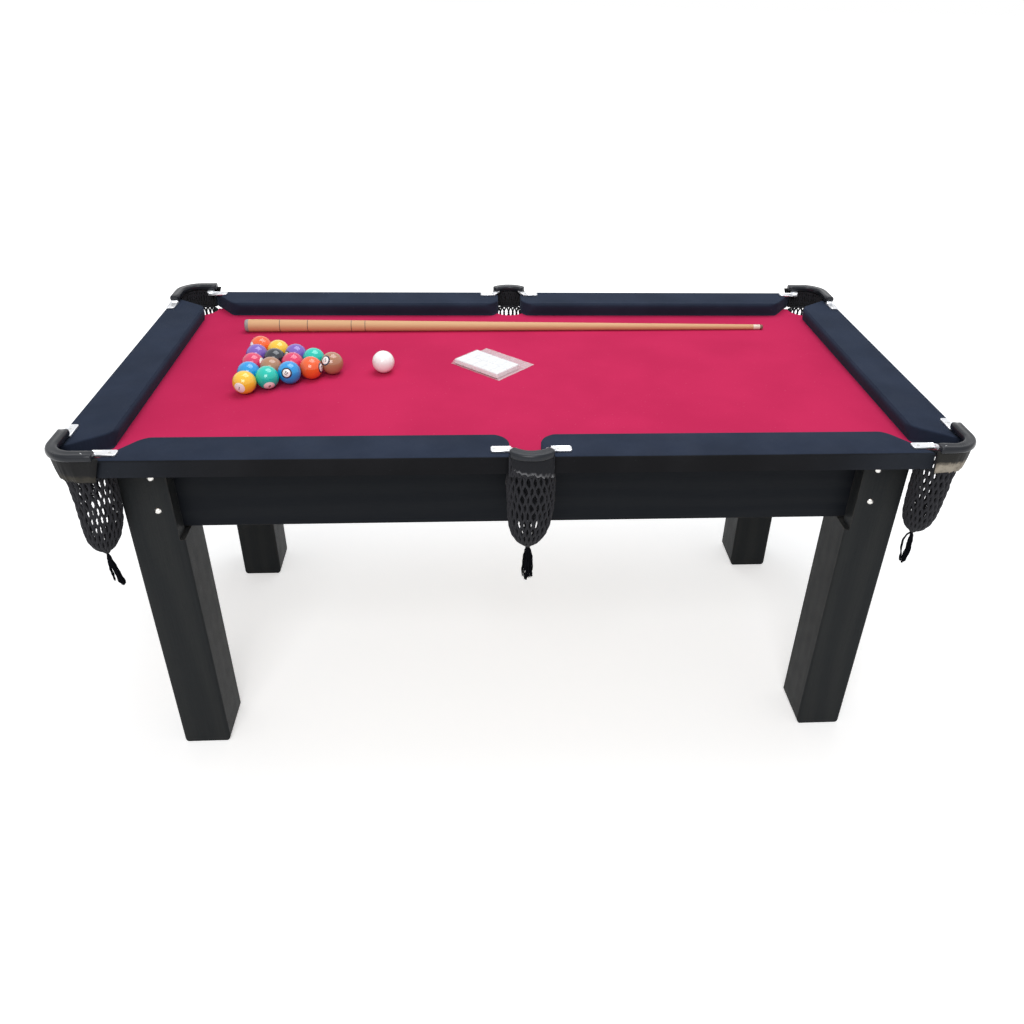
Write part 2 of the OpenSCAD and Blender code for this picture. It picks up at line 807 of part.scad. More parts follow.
// A bolt whose shank runs along +Z from its head's underside
module leg_bolt() {
  mirror([0, 0, 1]) domed_head();
  translate([0, 0, -eps]) cylinder(r = leg_bolt_r, h = bolt_grip + nut_h + bolt_end);
}

module leg_bolts() {
  color("silver") four_corners() at_leg_bolts() leg_bolt();
}

module leg_nuts() {
  color("gray") four_corners() at_leg_bolts()
    translate([0, 0, bolt_grip]) difference() {
      rotate([0, 0, 30]) cylinder(r = nut_af / 2 / cos(30), h = nut_h, $fn = 6);
      translate([0, 0, -1]) cylinder(r = leg_bolt_r, h = nut_h + 2);
    }
}

// ---------- what lies on the bed ----------

// Place of the i-th ball, from the front, in row k of the rack
function rack_place(k, i) =
  let (u = k * ball_step * sin(60), v = (i - (rack_rows - 1 - k) / 2) * ball_step,
       c = cos(rack_turn), s = sin(rack_turn))
  [rack_x + u * c - v * s, rack_y + u * s + v * c];

// Row of the rack that holds ball n
function row_of(n) = len([for (first = row_first) if (n >= first) 1]) - 1;

module ball(n) {
  k = row_of(n);
  p = rack_place(k, n - row_first[k]);
  color(ball_colours[(n - 1) % len(ball_colours)]) translate([p[0], p[1], ball_z]) sphere(r = ball_r);
}

module cue_ball() {
  color("ivory") translate([cue_ball_x, cue_ball_y, ball_z]) sphere(r = ball_r);
}

// Puts a stretch of the cue, from z0 to z1 along its axis, where it lies
module cue_stretch(z0, z1) {
  r0 = cue_butt_d / 2 - z0 * tan(cue_taper);
  r1 = cue_butt_d / 2 - z1 * tan(cue_taper);
  translate([cue_x, cue_y, cue_axis_z]) rotate([0, 90 + cue_taper, cue_turn])
    translate([0, 0, z0]) cylinder(r1 = r0, r2 = r1, h = z1 - z0);
}

module cue_bumper() {
  color("gray") cue_stretch(0, bumper_l);
}

module cue_shaft() {
  color("burlywood") cue_stretch(bumper_l, cue_l - ferrule_l - tip_l);
}

module cue_ferrule() {
  color("ivory") cue_stretch(cue_l - ferrule_l - tip_l, cue_l - tip_l);
}

module cue_tip() {
  color("saddlebrown") cue_stretch(cue_l - tip_l, cue_l);
}

module at_packet() {
  translate([packet_x, packet_y, packet_z]) rotate([0, 0, packet_turn])
    translate([-bag_l / 2, -bag_w / 2, 0]) children();
}

// The bag: a film box over the blocks, and a flat sealed flap that takes the rest of its width
module chalk_bag() {
  color("gainsboro", 0.4) at_packet() difference() {
    union() {
      cube([bag_l, bag_w, film_t]);
      translate([bag_seal - film_t, fill_edge - film_t, 0])
        cube([fill_l + 2 * film_t, fill_w + 2 * film_t, fill_h + 2 * film_t]);
    }
    translate([bag_seal, fill_edge, film_t]) cube([fill_l, fill_w, fill_h]);
  }
}

module chalk_blocks() {
  color("white") at_packet()
    for (i = [0 : chalk_n - 1], j = [0 : chalk_rows - 1])
      translate([
        bag_seal + chalk_air + i * (chalk_l + chalk_air),
        fill_edge + chalk_air + j * (chalk_w + chalk_air), film_t])
        cube([chalk_l, chalk_w, chalk_h]);
}

bed_slab();
bed_cloth();
long_rail_core(-1, -1);  // rail_core_front_left
long_rail_core(1, -1);  // rail_core_front_right
long_rail_core(-1, 1);  // rail_core_back_left
long_rail_core(1, 1);  // rail_core_back_right
end_rail_core(-1);  // rail_core_left_end
end_rail_core(1);  // rail_core_right_end
cushion_rubbers();
rail_cloths();
pocket_irons();
corner_collar(-1, -1);  // collar_front_left
middle_collar(-1);  // collar_front_middle
corner_collar(1, -1);  // collar_front_right
corner_collar(-1, 1);  // collar_back_left
middle_collar(1);  // collar_back_middle
corner_collar(1, 1);  // collar_back_right
corner_net(-1, -1);  // net_front_left
middle_net(-1);  // net_front_middle
corner_net(1, -1);  // net_front_right
corner_net(-1, 1);  // net_back_left
middle_net(1);  // net_back_middle
corner_net(1, 1);  // net_back_right
long_apron(-1);  // apron_front
long_apron(1);  // apron_back
end_apron(-1);  // apron_left
end_apron(1);  // apron_right
leg(-1, -1);  // leg_front_left
leg(1, -1);  // leg_front_right
leg(-1, 1);  // leg_back_left
leg(1, 1);  // leg_back_right
cross_bearers();
corner_blocks();
leg_bolts();
leg_nuts();
rail_bolts();
ear_bolts();
slab_screws();
cue_ball();
ball(1);  // ball_1
ball(2);  // ball_2
ball(3);  // ball_3
ball(4);  // ball_4
ball(5);  // ball_5
ball(6);  // ball_6
ball(7);  // ball_7
ball(8);  // ball_8
ball(9);  // ball_9
ball(10);  // ball_10
ball(11);  // ball_11
ball(12);  // ball_12
ball(13);  // ball_13
ball(14);  // ball_14
ball(15);  // ball_15
cue_shaft();
cue_bumper();
cue_ferrule();
cue_tip();
chalk_bag();
chalk_blocks();
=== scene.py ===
"""Six-pocket pool table with net pockets, a rack of balls, a cue and a packet of chalk.

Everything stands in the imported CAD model's frame: metres, X along the table, Y to its back,
Z up, with the origin on the floor under the middle of the table.
"""

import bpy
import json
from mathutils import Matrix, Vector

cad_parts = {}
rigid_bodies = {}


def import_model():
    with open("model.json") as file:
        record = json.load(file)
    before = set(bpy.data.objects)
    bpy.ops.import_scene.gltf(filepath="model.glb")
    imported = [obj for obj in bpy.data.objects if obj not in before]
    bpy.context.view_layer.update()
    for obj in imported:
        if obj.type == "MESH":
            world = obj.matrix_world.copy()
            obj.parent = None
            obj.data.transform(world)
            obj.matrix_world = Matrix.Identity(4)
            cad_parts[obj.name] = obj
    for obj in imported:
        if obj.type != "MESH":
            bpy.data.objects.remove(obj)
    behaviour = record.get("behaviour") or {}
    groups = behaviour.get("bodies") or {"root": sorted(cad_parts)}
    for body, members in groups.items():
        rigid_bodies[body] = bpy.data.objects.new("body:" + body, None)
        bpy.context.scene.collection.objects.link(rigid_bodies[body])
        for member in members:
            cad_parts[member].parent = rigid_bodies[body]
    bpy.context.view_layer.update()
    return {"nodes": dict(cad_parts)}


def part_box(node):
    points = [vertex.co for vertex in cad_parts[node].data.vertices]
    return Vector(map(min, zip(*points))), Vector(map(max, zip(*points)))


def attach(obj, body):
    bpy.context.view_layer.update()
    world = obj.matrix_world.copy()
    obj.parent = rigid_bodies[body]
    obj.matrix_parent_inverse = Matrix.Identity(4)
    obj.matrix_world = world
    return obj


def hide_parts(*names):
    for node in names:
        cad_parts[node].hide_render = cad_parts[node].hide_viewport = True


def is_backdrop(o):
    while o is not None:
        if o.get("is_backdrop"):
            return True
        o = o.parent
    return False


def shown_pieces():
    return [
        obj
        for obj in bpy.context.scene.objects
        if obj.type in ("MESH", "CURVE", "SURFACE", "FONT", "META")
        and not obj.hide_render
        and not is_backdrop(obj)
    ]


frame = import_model()

import json
import logging
import math
from dataclasses import dataclass, field
from enum import Enum
from functools import lru_cache
from typing import Callable, Sequence

import bmesh
import bpy
import numpy as np
from mathutils import Matrix, Vector, noise
from mathutils.bvhtree import BVHTree

LOG = logging.getLogger("pool_table")

Point2 = tuple[float, float]
Point3 = tuple[float, float, float]
Colour = tuple[float, float, float]

PHOTO_W = 1024
PHOTO_H = 1024
FULL_TURN = 6.2832

# Places in the photograph's frame, x to the right and y down.
IMAGE_POINTS: dict[str, Point2] = {
    "object_left": (45.5, 449.0), "object_right": (976.0, 442.3), "object_top": (205.0, 283.5),
    "object_bottom": (189.6, 741.0), "leg_front_right_foot": (799.6, 722.6),
    "leg_back_left_foot": (262.0, 573.0), "ear_front_left": (102.7, 454.0),
    "net_knot_front_middle": (528.5, 545.5), "cue_butt": (245.5, 325.5), "cue_tip": (763.0, 327.0),
    "cue_ball": (383.4, 361.4), "ball_1": (242.8, 381.2), "badge_1": (239.1, 388.4),
    "badge_6": (269.5, 386.6), "badge_10": (286.3, 373.1), "badge_15": (324.9, 360.2),
    "packet_front": (499.5, 380.5),
}


# ---------------------------------------------------------------- named options


class Axis(Enum):
    """The way that a board's grain runs, in the model's frame."""

    X = (1.0, 0.0, 0.0)
    Y = (0.0, 1.0, 0.0)
    Z = (0.0, 0.0, 1.0)


class Depth(Enum):
    """The front or the back of the table, with the sign of Y there."""

    FRONT = -1
    BACK = 1


class Place(Enum):
    """Where along the table a pocket is, with the sign of X there."""

    LEFT = -1
    MIDDLE = 0
    RIGHT = 1


class TasselShape(Enum):
    """How the ends of a net's draw cord fall under its knot."""

    SPREAD = "two bundles that stand apart"
    THICK = "one frayed bundle"
    LOOP = "a loop beside two strands"


# ---------------------------------------------------------------- sizes


@dataclass(frozen=True)
class TableSizes:
    """Sizes that the CAD source and this scene share, in metres."""

    half_l: float
    half_w: float
    rail_top: float
    cloth_top: float
    slab_bottom: float
    slab_half_l: float
    slab_half_w: float
    rail_w: float = 0.095
    nose_undercut: float = 0.008
    nose_foot: float = 0.011
    middle_mouth: float = 0.0305
    middle_jaw_r: float = 0.040
    jaw_long_inset: float = 0.1596
    jaw_end_inset: float = 0.117
    jaw_angle: float = math.radians(54.0)
    jaw_r: float = 0.045
    corner_in: Point2 = (0.060, 0.042)
    middle_in: float = 0.0395
    hole_r: float = 0.0438
    corner_lip_r: float = 0.048
    middle_lip_r: float = 0.053
    lip_h: float = 0.015
    corner_lip_rise: float = 0.020
    middle_lip_rise: float = 0.016
    corner_web_in: Point2 = (0.023, 0.051)
    middle_web_x: float = 0.040
    skirt_foot_r: float = 0.048
    skirt_top_r: float = 0.055
    skirt_drop: float = 0.043
    skirt_end_arm: float = 0.004
    net_r: float = 0.0435
    net_drop: float = 0.002
    net_depth: float = 0.190
    tassel_l: float = 0.084
    ear_l: float = 0.047
    middle_ear_l: float = 0.037
    ear_w: float = 0.020
    ear_t: float = 0.005
    ear_in: float = 0.024
    middle_ear_in: float = 0.025
    end_ear_in: float = 0.012

    @classmethod
    def from_frame(cls) -> "TableSizes":
        """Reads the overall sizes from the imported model.

        Returns:
            The sizes of the table as packed.
        """
        _, rails_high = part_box("rail_cloths")
        slab_low, slab_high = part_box("bed_slab")
        _, cloth_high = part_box("bed_cloth")
        return cls(
            half_l=rails_high[0], half_w=rails_high[1], rail_top=rails_high[2],
            cloth_top=cloth_high[2], slab_bottom=slab_low[2], slab_half_l=slab_high[0],
            slab_half_w=slab_high[1],
        )

    @property
    def corner(self) -> Point2:
        """The corner pocket's centre in the quarter where X and Y are positive."""
        return self.half_l - self.corner_in[0], self.half_w - self.corner_in[1]

    @property
    def middle(self) -> Point2:
        """The back middle pocket's centre."""
        return 0.0, self.half_w - self.middle_in

    @property
    def skirt_foot(self) -> float:
        """Height of a skirt's lower edge."""
        return self.rail_top - self.skirt_drop

    @property
    def net_top(self) -> float:
        """Height of a net's hem."""
        return self.cloth_top - self.net_drop

    @property
    def knot(self) -> float:
        """Height of a net's knot."""
        return self.net_top - self.net_depth


# ---------------------------------------------------------------- camera


@dataclass(frozen=True)
class PhotoCamera:
    """The camera that the photograph's points fit."""

    position: Point3 = (-0.0914, -1.9404, 1.6064)
    yaw: float = math.radians(4.508)
    pitch: float = math.radians(32.977)
    roll: float = math.radians(1.613)
    lens: float = 31.43
    sensor: float = 36.0
    shift: Point2 = (-0.02526, 0.01165)

    def matrix(self) -> Matrix:
        """Places the camera.

        Returns:
            The camera's matrix: aim first, then roll about the aim.
        """
        cos_p, sin_p = math.cos(self.pitch), math.sin(self.pitch)
        aim = Vector((math.sin(self.yaw) * cos_p, math.cos(self.yaw) * cos_p, -sin_p))
        right = Vector((math.cos(self.yaw), -math.sin(self.yaw), 0.0))
        up = right.cross(aim)
        cos_r, sin_r = math.cos(self.roll), math.sin(self.roll)
        x_axis = cos_r * right + sin_r * up
        y_axis = cos_r * up - sin_r * right
        turn = Matrix((x_axis, y_axis, -aim)).transposed().to_4x4()
        return Matrix.Translation(self.position) @ turn

    def make(self) -> bpy.types.Object:
        """Adds the camera to the scene.

        Returns:
            The camera object.
        """
        data = bpy.data.cameras.new("photo_camera")
        data.sensor_fit = "AUTO"
        data.sensor_width = self.sensor
        data.lens = self.lens
        data.shift_x, data.shift_y = self.shift
        data.clip_start, data.clip_end = 0.05, 60.0
        camera = bpy.data.objects.new("photo_camera", data)
        camera.matrix_world = self.matrix()
        bpy.context.scene.collection.objects.link(camera)
        bpy.context.scene.camera = camera
        return camera

    def direction(self, point: Point2) -> Vector:
        """Points from the camera through a place in the photograph.

        Args:
            point: x and y in the photograph's frame.

        Returns:
            A unit vector in the model's frame.
        """
        longest = max(PHOTO_W, PHOTO_H)
        local = Vector(
            (
                point[0] - PHOTO_W / 2 + self.shift[0] * longest,
                PHOTO_H / 2 - point[1] + self.shift[1] * longest,
                -longest * self.lens / self.sensor,
            )
        )
        return (self.matrix().to_3x3() @ local).normalized()

    def place(self, point: Point2, tree: BVHTree) -> Vector:
        """Finds where a place in the photograph lies on a surface.

        Args:
            point: x and y in the photograph's frame.
            tree: The surface that carries what shows there.

        Returns:
            The point that the ray meets, or the one nearest to the ray where it misses.
        """
        eye, aim = Vector(self.position), self.direction(point)
        hit = tree.ray_cast(eye, aim)[0]
        if hit is not None:
            return hit
        steps = [tree.find_nearest(eye + aim * (0.5 + 0.02 * i)) for i in range(200)]
        return min((s for s in steps if s[0] is not None), key=lambda s: s[3])[0]

    def project(self, points: np.ndarray) -> np.ndarray:
        """Shows where points of the model fall in the photograph.

        Args:
            points: An array of x, y, z rows.

        Returns:
            An array of x, y rows in the photograph's frame.
        """
        turn = np.array(self.matrix().to_3x3())
        local = (points - np.array(self.position)) @ turn
        longest = max(PHOTO_W, PHOTO_H)
        scale = -longest * self.lens / self.sensor / local[:, 2]
        x = local[:, 0] * scale + PHOTO_W / 2 - self.shift[0] * longest
        y = PHOTO_H / 2 - local[:, 1] * scale + self.shift[1] * longest
        return np.stack([x, y], axis=1)


# ---------------------------------------------------------------- mesh building


@dataclass
class MeshDraft:
    """Vertices, faces, texture places and material numbers gathered for one mesh."""

    verts: list[Point3] = field(default_factory=list)
    faces: list[tuple[int, ...]] = field(default_factory=list)
    uvs: list[tuple[Point2, ...]] = field(default_factory=list)
    slots: list[int] = field(default_factory=list)

    def add_points(self, points: Sequence[Sequence[float]]) -> list[int]:
        """Adds vertices.

        Args:
            points: Their places.

        Returns:
            Their numbers.
        """
        start = len(self.verts)
        self.verts.extend(tuple(float(c) for c in p) for p in points)
        return list(range(start, start + len(points)))

    def add_face(self, face: Sequence[int], slot: int = 0, uv: Sequence[Point2] = ()) -> None:
        """Adds one face.

        Args:
            face: The numbers of its vertices.
            slot: Its material slot.
            uv: A texture place for each vertex.
        """
        self.faces.append(tuple(face))
        self.slots.append(slot)
        self.uvs.append(tuple(uv) if uv else tuple((0.0, 0.0) for _ in face))

    def loft(
        self, rings: Sequence[Sequence[Sequence[float]]], closed: bool = True, slot: int = 0,
        caps: tuple[bool, bool] = (False, False), along: Sequence[float] | None = None,
    ) -> list[list[int]]:
        """Joins rings of the same number of points with quads.

        Args:
            rings: The rings, in order.
            closed: Whether each ring's last point joins its first.
            slot: The faces' material slot.
            caps: Whether the first and the last ring are filled.
            along: A texture place along the loft for each ring.

        Returns:
            The vertex numbers of every ring.
        """
        numbers = [self.add_points(ring) for ring in rings]
        count = len(rings[0])
        spans = count if closed else count - 1
        places = list(along) if along is not None else [float(i) for i in range(len(rings))]
        for k in range(len(rings) - 1):
            low, high = numbers[k], numbers[k + 1]
            for i in range(spans):
                j = (i + 1) % count
                u0, u1 = i / count, (i + 1) / count
                uv = ((u0, places[k]), (u1, places[k]), (u1, places[k + 1]), (u0, places[k + 1]))
                self.add_face((low[i], low[j], high[j], high[i]), slot, uv)
        if caps[0]:
            self.add_face(numbers[0][::-1], slot)
        if caps[1]:
            self.add_face(numbers[-1], slot)
        return numbers

    def tube(
        self, path: np.ndarray, radius: float | Sequence[float], sides: int = 8, slot: int = 0,
        caps: bool = True,
    ) -> None:
        """Adds a round tube along a path.

        Args:
            path: The points that it follows.
            radius: Its radius, or one for each point.
            sides: Its number of sides.
            slot: The faces' material slot.
            caps: Whether both ends are filled.
        """
        path = np.asarray(path, float)
        radii = np.broadcast_to(np.asarray(radius, float), (len(path),))
        ahead = np.gradient(path, axis=0)
        ahead /= np.linalg.norm(ahead, axis=1, keepdims=True)
        side = np.cross(ahead[0], (0.0, 0.0, 1.0))
        if np.linalg.norm(side) < 0.1:
            side = np.cross(ahead[0], (1.0, 0.0, 0.0))
        rings = []
        angles = np.linspace(0, 2 * math.pi, sides, endpoint=False)
        for point, way, r in zip(path, ahead, radii):
            side = side - way * np.dot(side, way)
            side /= np.linalg.norm(side)
            up = np.cross(way, side)
            rings.append(
                point + r * (np.outer(np.cos(angles), side) + np.outer(np.sin(angles), up))
            )
        steps = np.linalg.norm(np.diff(path, axis=0), axis=1)
        along = np.concatenate([[0.0], np.cumsum(steps)])
        self.loft(rings, slot=slot, caps=(caps, caps), along=along)

    def build(
        self, name: str, materials: Sequence[bpy.types.Material], smooth: bool = True,
        flip: bool = False,
    ) -> bpy.types.Object:
        """Makes the object.

        Args:
            name: The piece's name.
            materials: Its materials, in slot order.
            smooth: Whether its faces are shaded smooth.
            flip: Whether its faces are turned inside out, as after a mirror.

        Returns:
            The new object, linked to the scene.
        """
        mesh = bpy.data.meshes.new(name)
        faces = [f[::-1] for f in self.faces] if flip else self.faces
        uvs = [u[::-1] for u in self.uvs] if flip else self.uvs
        mesh.from_pydata(self.verts, [], faces)
        layer = mesh.uv_layers.new(name="UVMap")
        layer.data.foreach_set("uv", [c for face in uvs for uv in face for c in uv])
        for material in materials:
            mesh.materials.append(material)
        mesh.polygons.foreach_set("material_index", self.slots)
        mesh.polygons.foreach_set("use_smooth", [smooth] * len(faces))
        mesh.validate(clean_customdata=False)
        mesh.update()
        piece = bpy.data.objects.new(name, mesh)
        bpy.context.scene.collection.objects.link(piece)
        return piece


def superellipse(half_w: float, half_h: float, power: float, count: int) -> list[Point2]:
    """Outlines a box with soft corners.

    Args:
        half_w: Half its width.
        half_h: Half its height.
        power: 2 is an ellipse, and more is boxier.
        count: The number of points.

    Returns:
        The outline's points.
    """
    points = []
    for i in range(count):
        c, s = math.cos(2 * math.pi * i / count), math.sin(2 * math.pi * i / count)
        points.append(
            (
                half_w * math.copysign(abs(c) ** (2 / power), c),
                half_h * math.copysign(abs(s) ** (2 / power), s),
            )
        )
    return points


def arc(centre: Point2, radius: float, start: float, end: float, steps: int) -> list[Point2]:
    """Lists the points of an arc."""
    angles = [math.radians(start + (end - start) * i / steps) for i in range(steps + 1)]
    return [(centre[0] + radius * math.cos(a), centre[1] + radius * math.sin(a)) for a in angles]


def mirrored(points: Sequence[Sequence[float]], sx: int, sy: int) -> list[Point3]:
    """Moves points made for the right-hand back quarter to another quarter."""
    return [(sx * p[0], sy * p[1], p[2]) for p in points]


def smooth_step(low: float, high: float, value: float) -> float:
    """Rises smoothly from 0 at low to 1 at high."""
    t = min(max((value - low) / (high - low), 0.0), 1.0)
    return t * t * (3 - 2 * t)


def spline(points: Sequence[Sequence[float]], per_span: int) -> np.ndarray:
    """Runs a smooth curve through points.

    Args:
        points: The places that it passes.
        per_span: How many steps lie between two of them.

    Returns:
        The curve's points.
    """
    p = np.asarray(points, float)
    p = np.vstack([2 * p[0] - p[1], p, 2 * p[-1] - p[-2]])
    found = []
    for k in range(1, len(p) - 2):
        for i in range(per_span):
            t = i / per_span
            found.append(
                0.5
                * (
                    2 * p[k] + (p[k + 1] - p[k - 1]) * t
                    + (2 * p[k - 1] - 5 * p[k] + 4 * p[k + 1] - p[k + 2]) * t**2
                    + (3 * p[k] - p[k - 1] - 3 * p[k + 1] + p[k + 2]) * t**3
                )
            )
    found.append(p[-2])
    return np.array(found)


# ---------------------------------------------------------------- shader building


Socket = bpy.types.NodeSocket


class Graph:
    """Adds shader nodes to one node tree and joins them by socket name."""

    def __init__(self, tree: bpy.types.NodeTree) -> None:
        """Keeps the tree."""
        self.tree = tree

    def put(self, socket: Socket, value: object) -> None:
        """Joins a socket to another one, or sets its value.

        Args:
            socket: The input.
            value: A socket, number, colour or vector.
        """
        if isinstance(value, bpy.types.NodeSocket):
            self.tree.links.new(value, socket)
        elif socket.type == "RGBA" and len(value) == 3:
            socket.default_value = (*value, 1.0)
        else:
            socket.default_value = value

    def feed(self, sockets: bpy.types.NodeInputs, values: dict[str, object]) -> None:
        """Joins or sets several inputs of one node, by name."""
        for name, value in values.items():
            self.put(sockets[name], value)

    def add(self, kind: str, inputs: dict | None = None, **settings: object) -> bpy.types.Node:
        """Adds a node.

        Args:
            kind: Its type, without the word ShaderNode.
            inputs: Its inputs' values by name or number.
            settings: Its own settings.

        Returns:
            The node.
        """
        node = self.tree.nodes.new("ShaderNode" + kind)
        for name, value in settings.items():
            setattr(node, name, value)
        for name, value in (inputs or {}).items():
            self.put(node.inputs[name], value)
        return node

    def noise(
        self, vector: object, scale: float, detail: float = 2.0, rough: float = 0.5
    ) -> Socket:
        """Adds fractal noise."""
        found = {"Vector": vector, "Scale": scale, "Detail": detail, "Roughness": rough}
        return self.add("TexNoise", found).outputs[0]

    def math(self, operation: str, a: object, b: object = 0.0, clamp: bool = False) -> Socket:
        """Adds a sum on one or two values."""
        node = self.add("Math", {0: a, 1: b}, operation=operation, use_clamp=clamp)
        return node.outputs[0]

    def ramp(self, value: object, low: float, high: float) -> Socket:
        """Stretches a range of a value to 0 to 1, softly."""
        found = {"Value": value, "From Min": low, "From Max": high}
        return self.add("MapRange", found, interpolation_type="SMOOTHSTEP").outputs["Result"]

    def mix(self, factor: object, a: object, b: object, blend: str = "MIX") -> Socket:
        """Mixes two colours.

        Args:
            factor: How much of the second shows.
            a: The first colour.
            b: The second colour.
            blend: The way they mix.

        Returns:
            The mixed colour.
        """
        node = self.add("Mix", data_type="RGBA", blend_type=blend)
        for number, value in ((0, factor), (6, a), (7, b)):
            self.put(node.inputs[number], value)
        return node.outputs[2]

    def stretch(self, vector: object, scale: Sequence[float]) -> Socket:
        """Scales a vector along each axis."""
        node = self.add("VectorMath", {0: vector, 1: tuple(scale)}, operation="MULTIPLY")
        return node.outputs[0]

    def bump(self, height: object, distance: float, strength: object = 1.0) -> Socket:
        """Turns a height into a normal."""
        found = {"Height": height, "Distance": distance, "Strength": strength}
        return self.add("Bump", found).outputs["Normal"]


@dataclass(frozen=True)
class Plug:
    """One named socket of an effect."""

    name: str
    kind: str = "Float"
    value: object = None


class Effect:
    """A shader node group with named sockets, which many finishes use."""

    name = "effect"
    inputs: tuple[Plug, ...] = ()
    outputs: tuple[Plug, ...] = ()

    @classmethod
    @lru_cache(maxsize=None)
    def tree(cls) -> bpy.types.NodeTree:
        """Makes the group once.

        Returns:
            The group's node tree.
        """
        tree = bpy.data.node_groups.new(cls.name, "ShaderNodeTree")
        for side, plugs in (("INPUT", cls.inputs), ("OUTPUT", cls.outputs)):
            for plug in plugs:
                socket = tree.interface.new_socket(
                    name=plug.name, in_out=side, socket_type="NodeSocket" + plug.kind
                )
                if plug.value is not None:
                    socket.default_value = plug.value
        graph = Graph(tree)
        start = tree.nodes.new("NodeGroupInput").outputs
        end = tree.nodes.new("NodeGroupOutput").inputs
        for name, socket in cls.draw(graph, start).items():
            graph.put(end[name], socket)
        return tree

    @classmethod
    def draw(cls, g: Graph, i: bpy.types.NodeOutputs) -> dict[str, Socket]:
        """Draws the group's nodes."""
        raise NotImplementedError

    @classmethod
    def use(cls, g: Graph, **inputs: object) -> bpy.types.NodeOutputs:
        """Adds the effect to a material.

        Args:
            g: The material's graph.
            inputs: The effect's inputs by name.

        Returns:
            The effect's outputs.
        """
        node = g.tree.nodes.new("ShaderNodeGroup")
        node.node_tree = cls.tree()
        for name, value in inputs.items():
            g.put(node.inputs[name], value)
        return node.outputs


class FeltNap(Effect):
    """Short brushed fibres that lie in drifts, so that the tone shifts over the cloth."""

    name = "felt_nap"
    inputs = (
        Plug("Vector", "Vector"), Plug("Colour", "Color"), Plug("Shade", "Color"),
        Plug("Fibre", "Float", 1400.0),
    )
    outputs = (Plug("Colour", "Color"), Plug("Normal", "Vector"))

    @classmethod
    def draw(cls, g: Graph, i: bpy.types.NodeOutputs) -> dict[str, Socket]:
        """Draws drifts of tone, fibres and lint.

        Args:
            g: The group's graph.
            i: The group's inputs.

        Returns:
            The sockets that feed each output, by name.
        """
        drift = g.ramp(g.noise(i["Vector"], 5.0, 3.0), 0.3, 0.7)
        fibre = g.add("TexNoise", {"Vector": i["Vector"], "Scale": i["Fibre"], "Detail": 2.0})
        speck = g.ramp(fibre.outputs[0], 0.35, 0.65)
        tone = g.math("ADD", g.math("MULTIPLY", drift, 0.5), g.math("MULTIPLY", speck, 0.4))
        lint = g.ramp(g.noise(i["Vector"], 260.0, 1.0), 0.74, 0.8)
        colour = g.mix(tone, i["Shade"], i["Colour"])
        return {
            "Colour": g.mix(g.math("MULTIPLY", lint, 0.18), colour, (0.9, 0.5, 0.6)),
            "Normal": g.bump(fibre.outputs[0], 0.0004, 0.35),
        }


class ClothWeave(Effect):
    """A plain weave: threads that pass over and under each other, with lint on them."""

    name = "cloth_weave"
    inputs = (
        Plug("Vector", "Vector"), Plug("Colour", "Color"), Plug("Shade", "Color"),
        Plug("Threads", "Float", 5200.0), Plug("Relief", "Float", 0.2),
    )
    outputs = (Plug("Colour", "Color"), Plug("Normal", "Vector"))

    @classmethod
    def draw(cls, g: Graph, i: bpy.types.NodeOutputs) -> dict[str, Socket]:
        """Draws crossing threads with lint on them.

        Args:
            g: The group's graph.
            i: The group's inputs.

        Returns:
            The sockets that feed each output, by name.
        """
        parts = g.add("SeparateXYZ", {0: i["Vector"]})
        angle = [g.math("MULTIPLY", parts.outputs[n], i["Threads"]) for n in range(3)]
        warp = g.math("SINE", g.math("ADD", angle[0], angle[2]))
        weft = g.math("SINE", g.math("ADD", angle[1], angle[2]))
        weave = g.math("MULTIPLY_ADD", g.math("MULTIPLY", warp, weft), 0.5)
        weave.node.inputs[2].default_value = 0.5
        drift = g.ramp(g.noise(i["Vector"], 9.0, 4.0), 0.3, 0.72)
        fuzz = g.noise(i["Vector"], 2200.0, 1.0)
        tone = g.math("MULTIPLY_ADD", weave, 0.35)
        g.put(tone.node.inputs[2], g.math("MULTIPLY", drift, 0.6))
        lint = g.ramp(g.noise(i["Vector"], 330.0, 1.0), 0.76, 0.82)
        colour = g.mix(tone, i["Shade"], i["Colour"])
        height = g.math("ADD", weave, g.math("MULTIPLY", fuzz, 0.8))
        return {
            "Colour": g.mix(g.math("MULTIPLY", lint, 0.12), colour, (0.5, 0.55, 0.6)),
            "Normal": g.bump(height, 0.0003, i["Relief"]),
        }


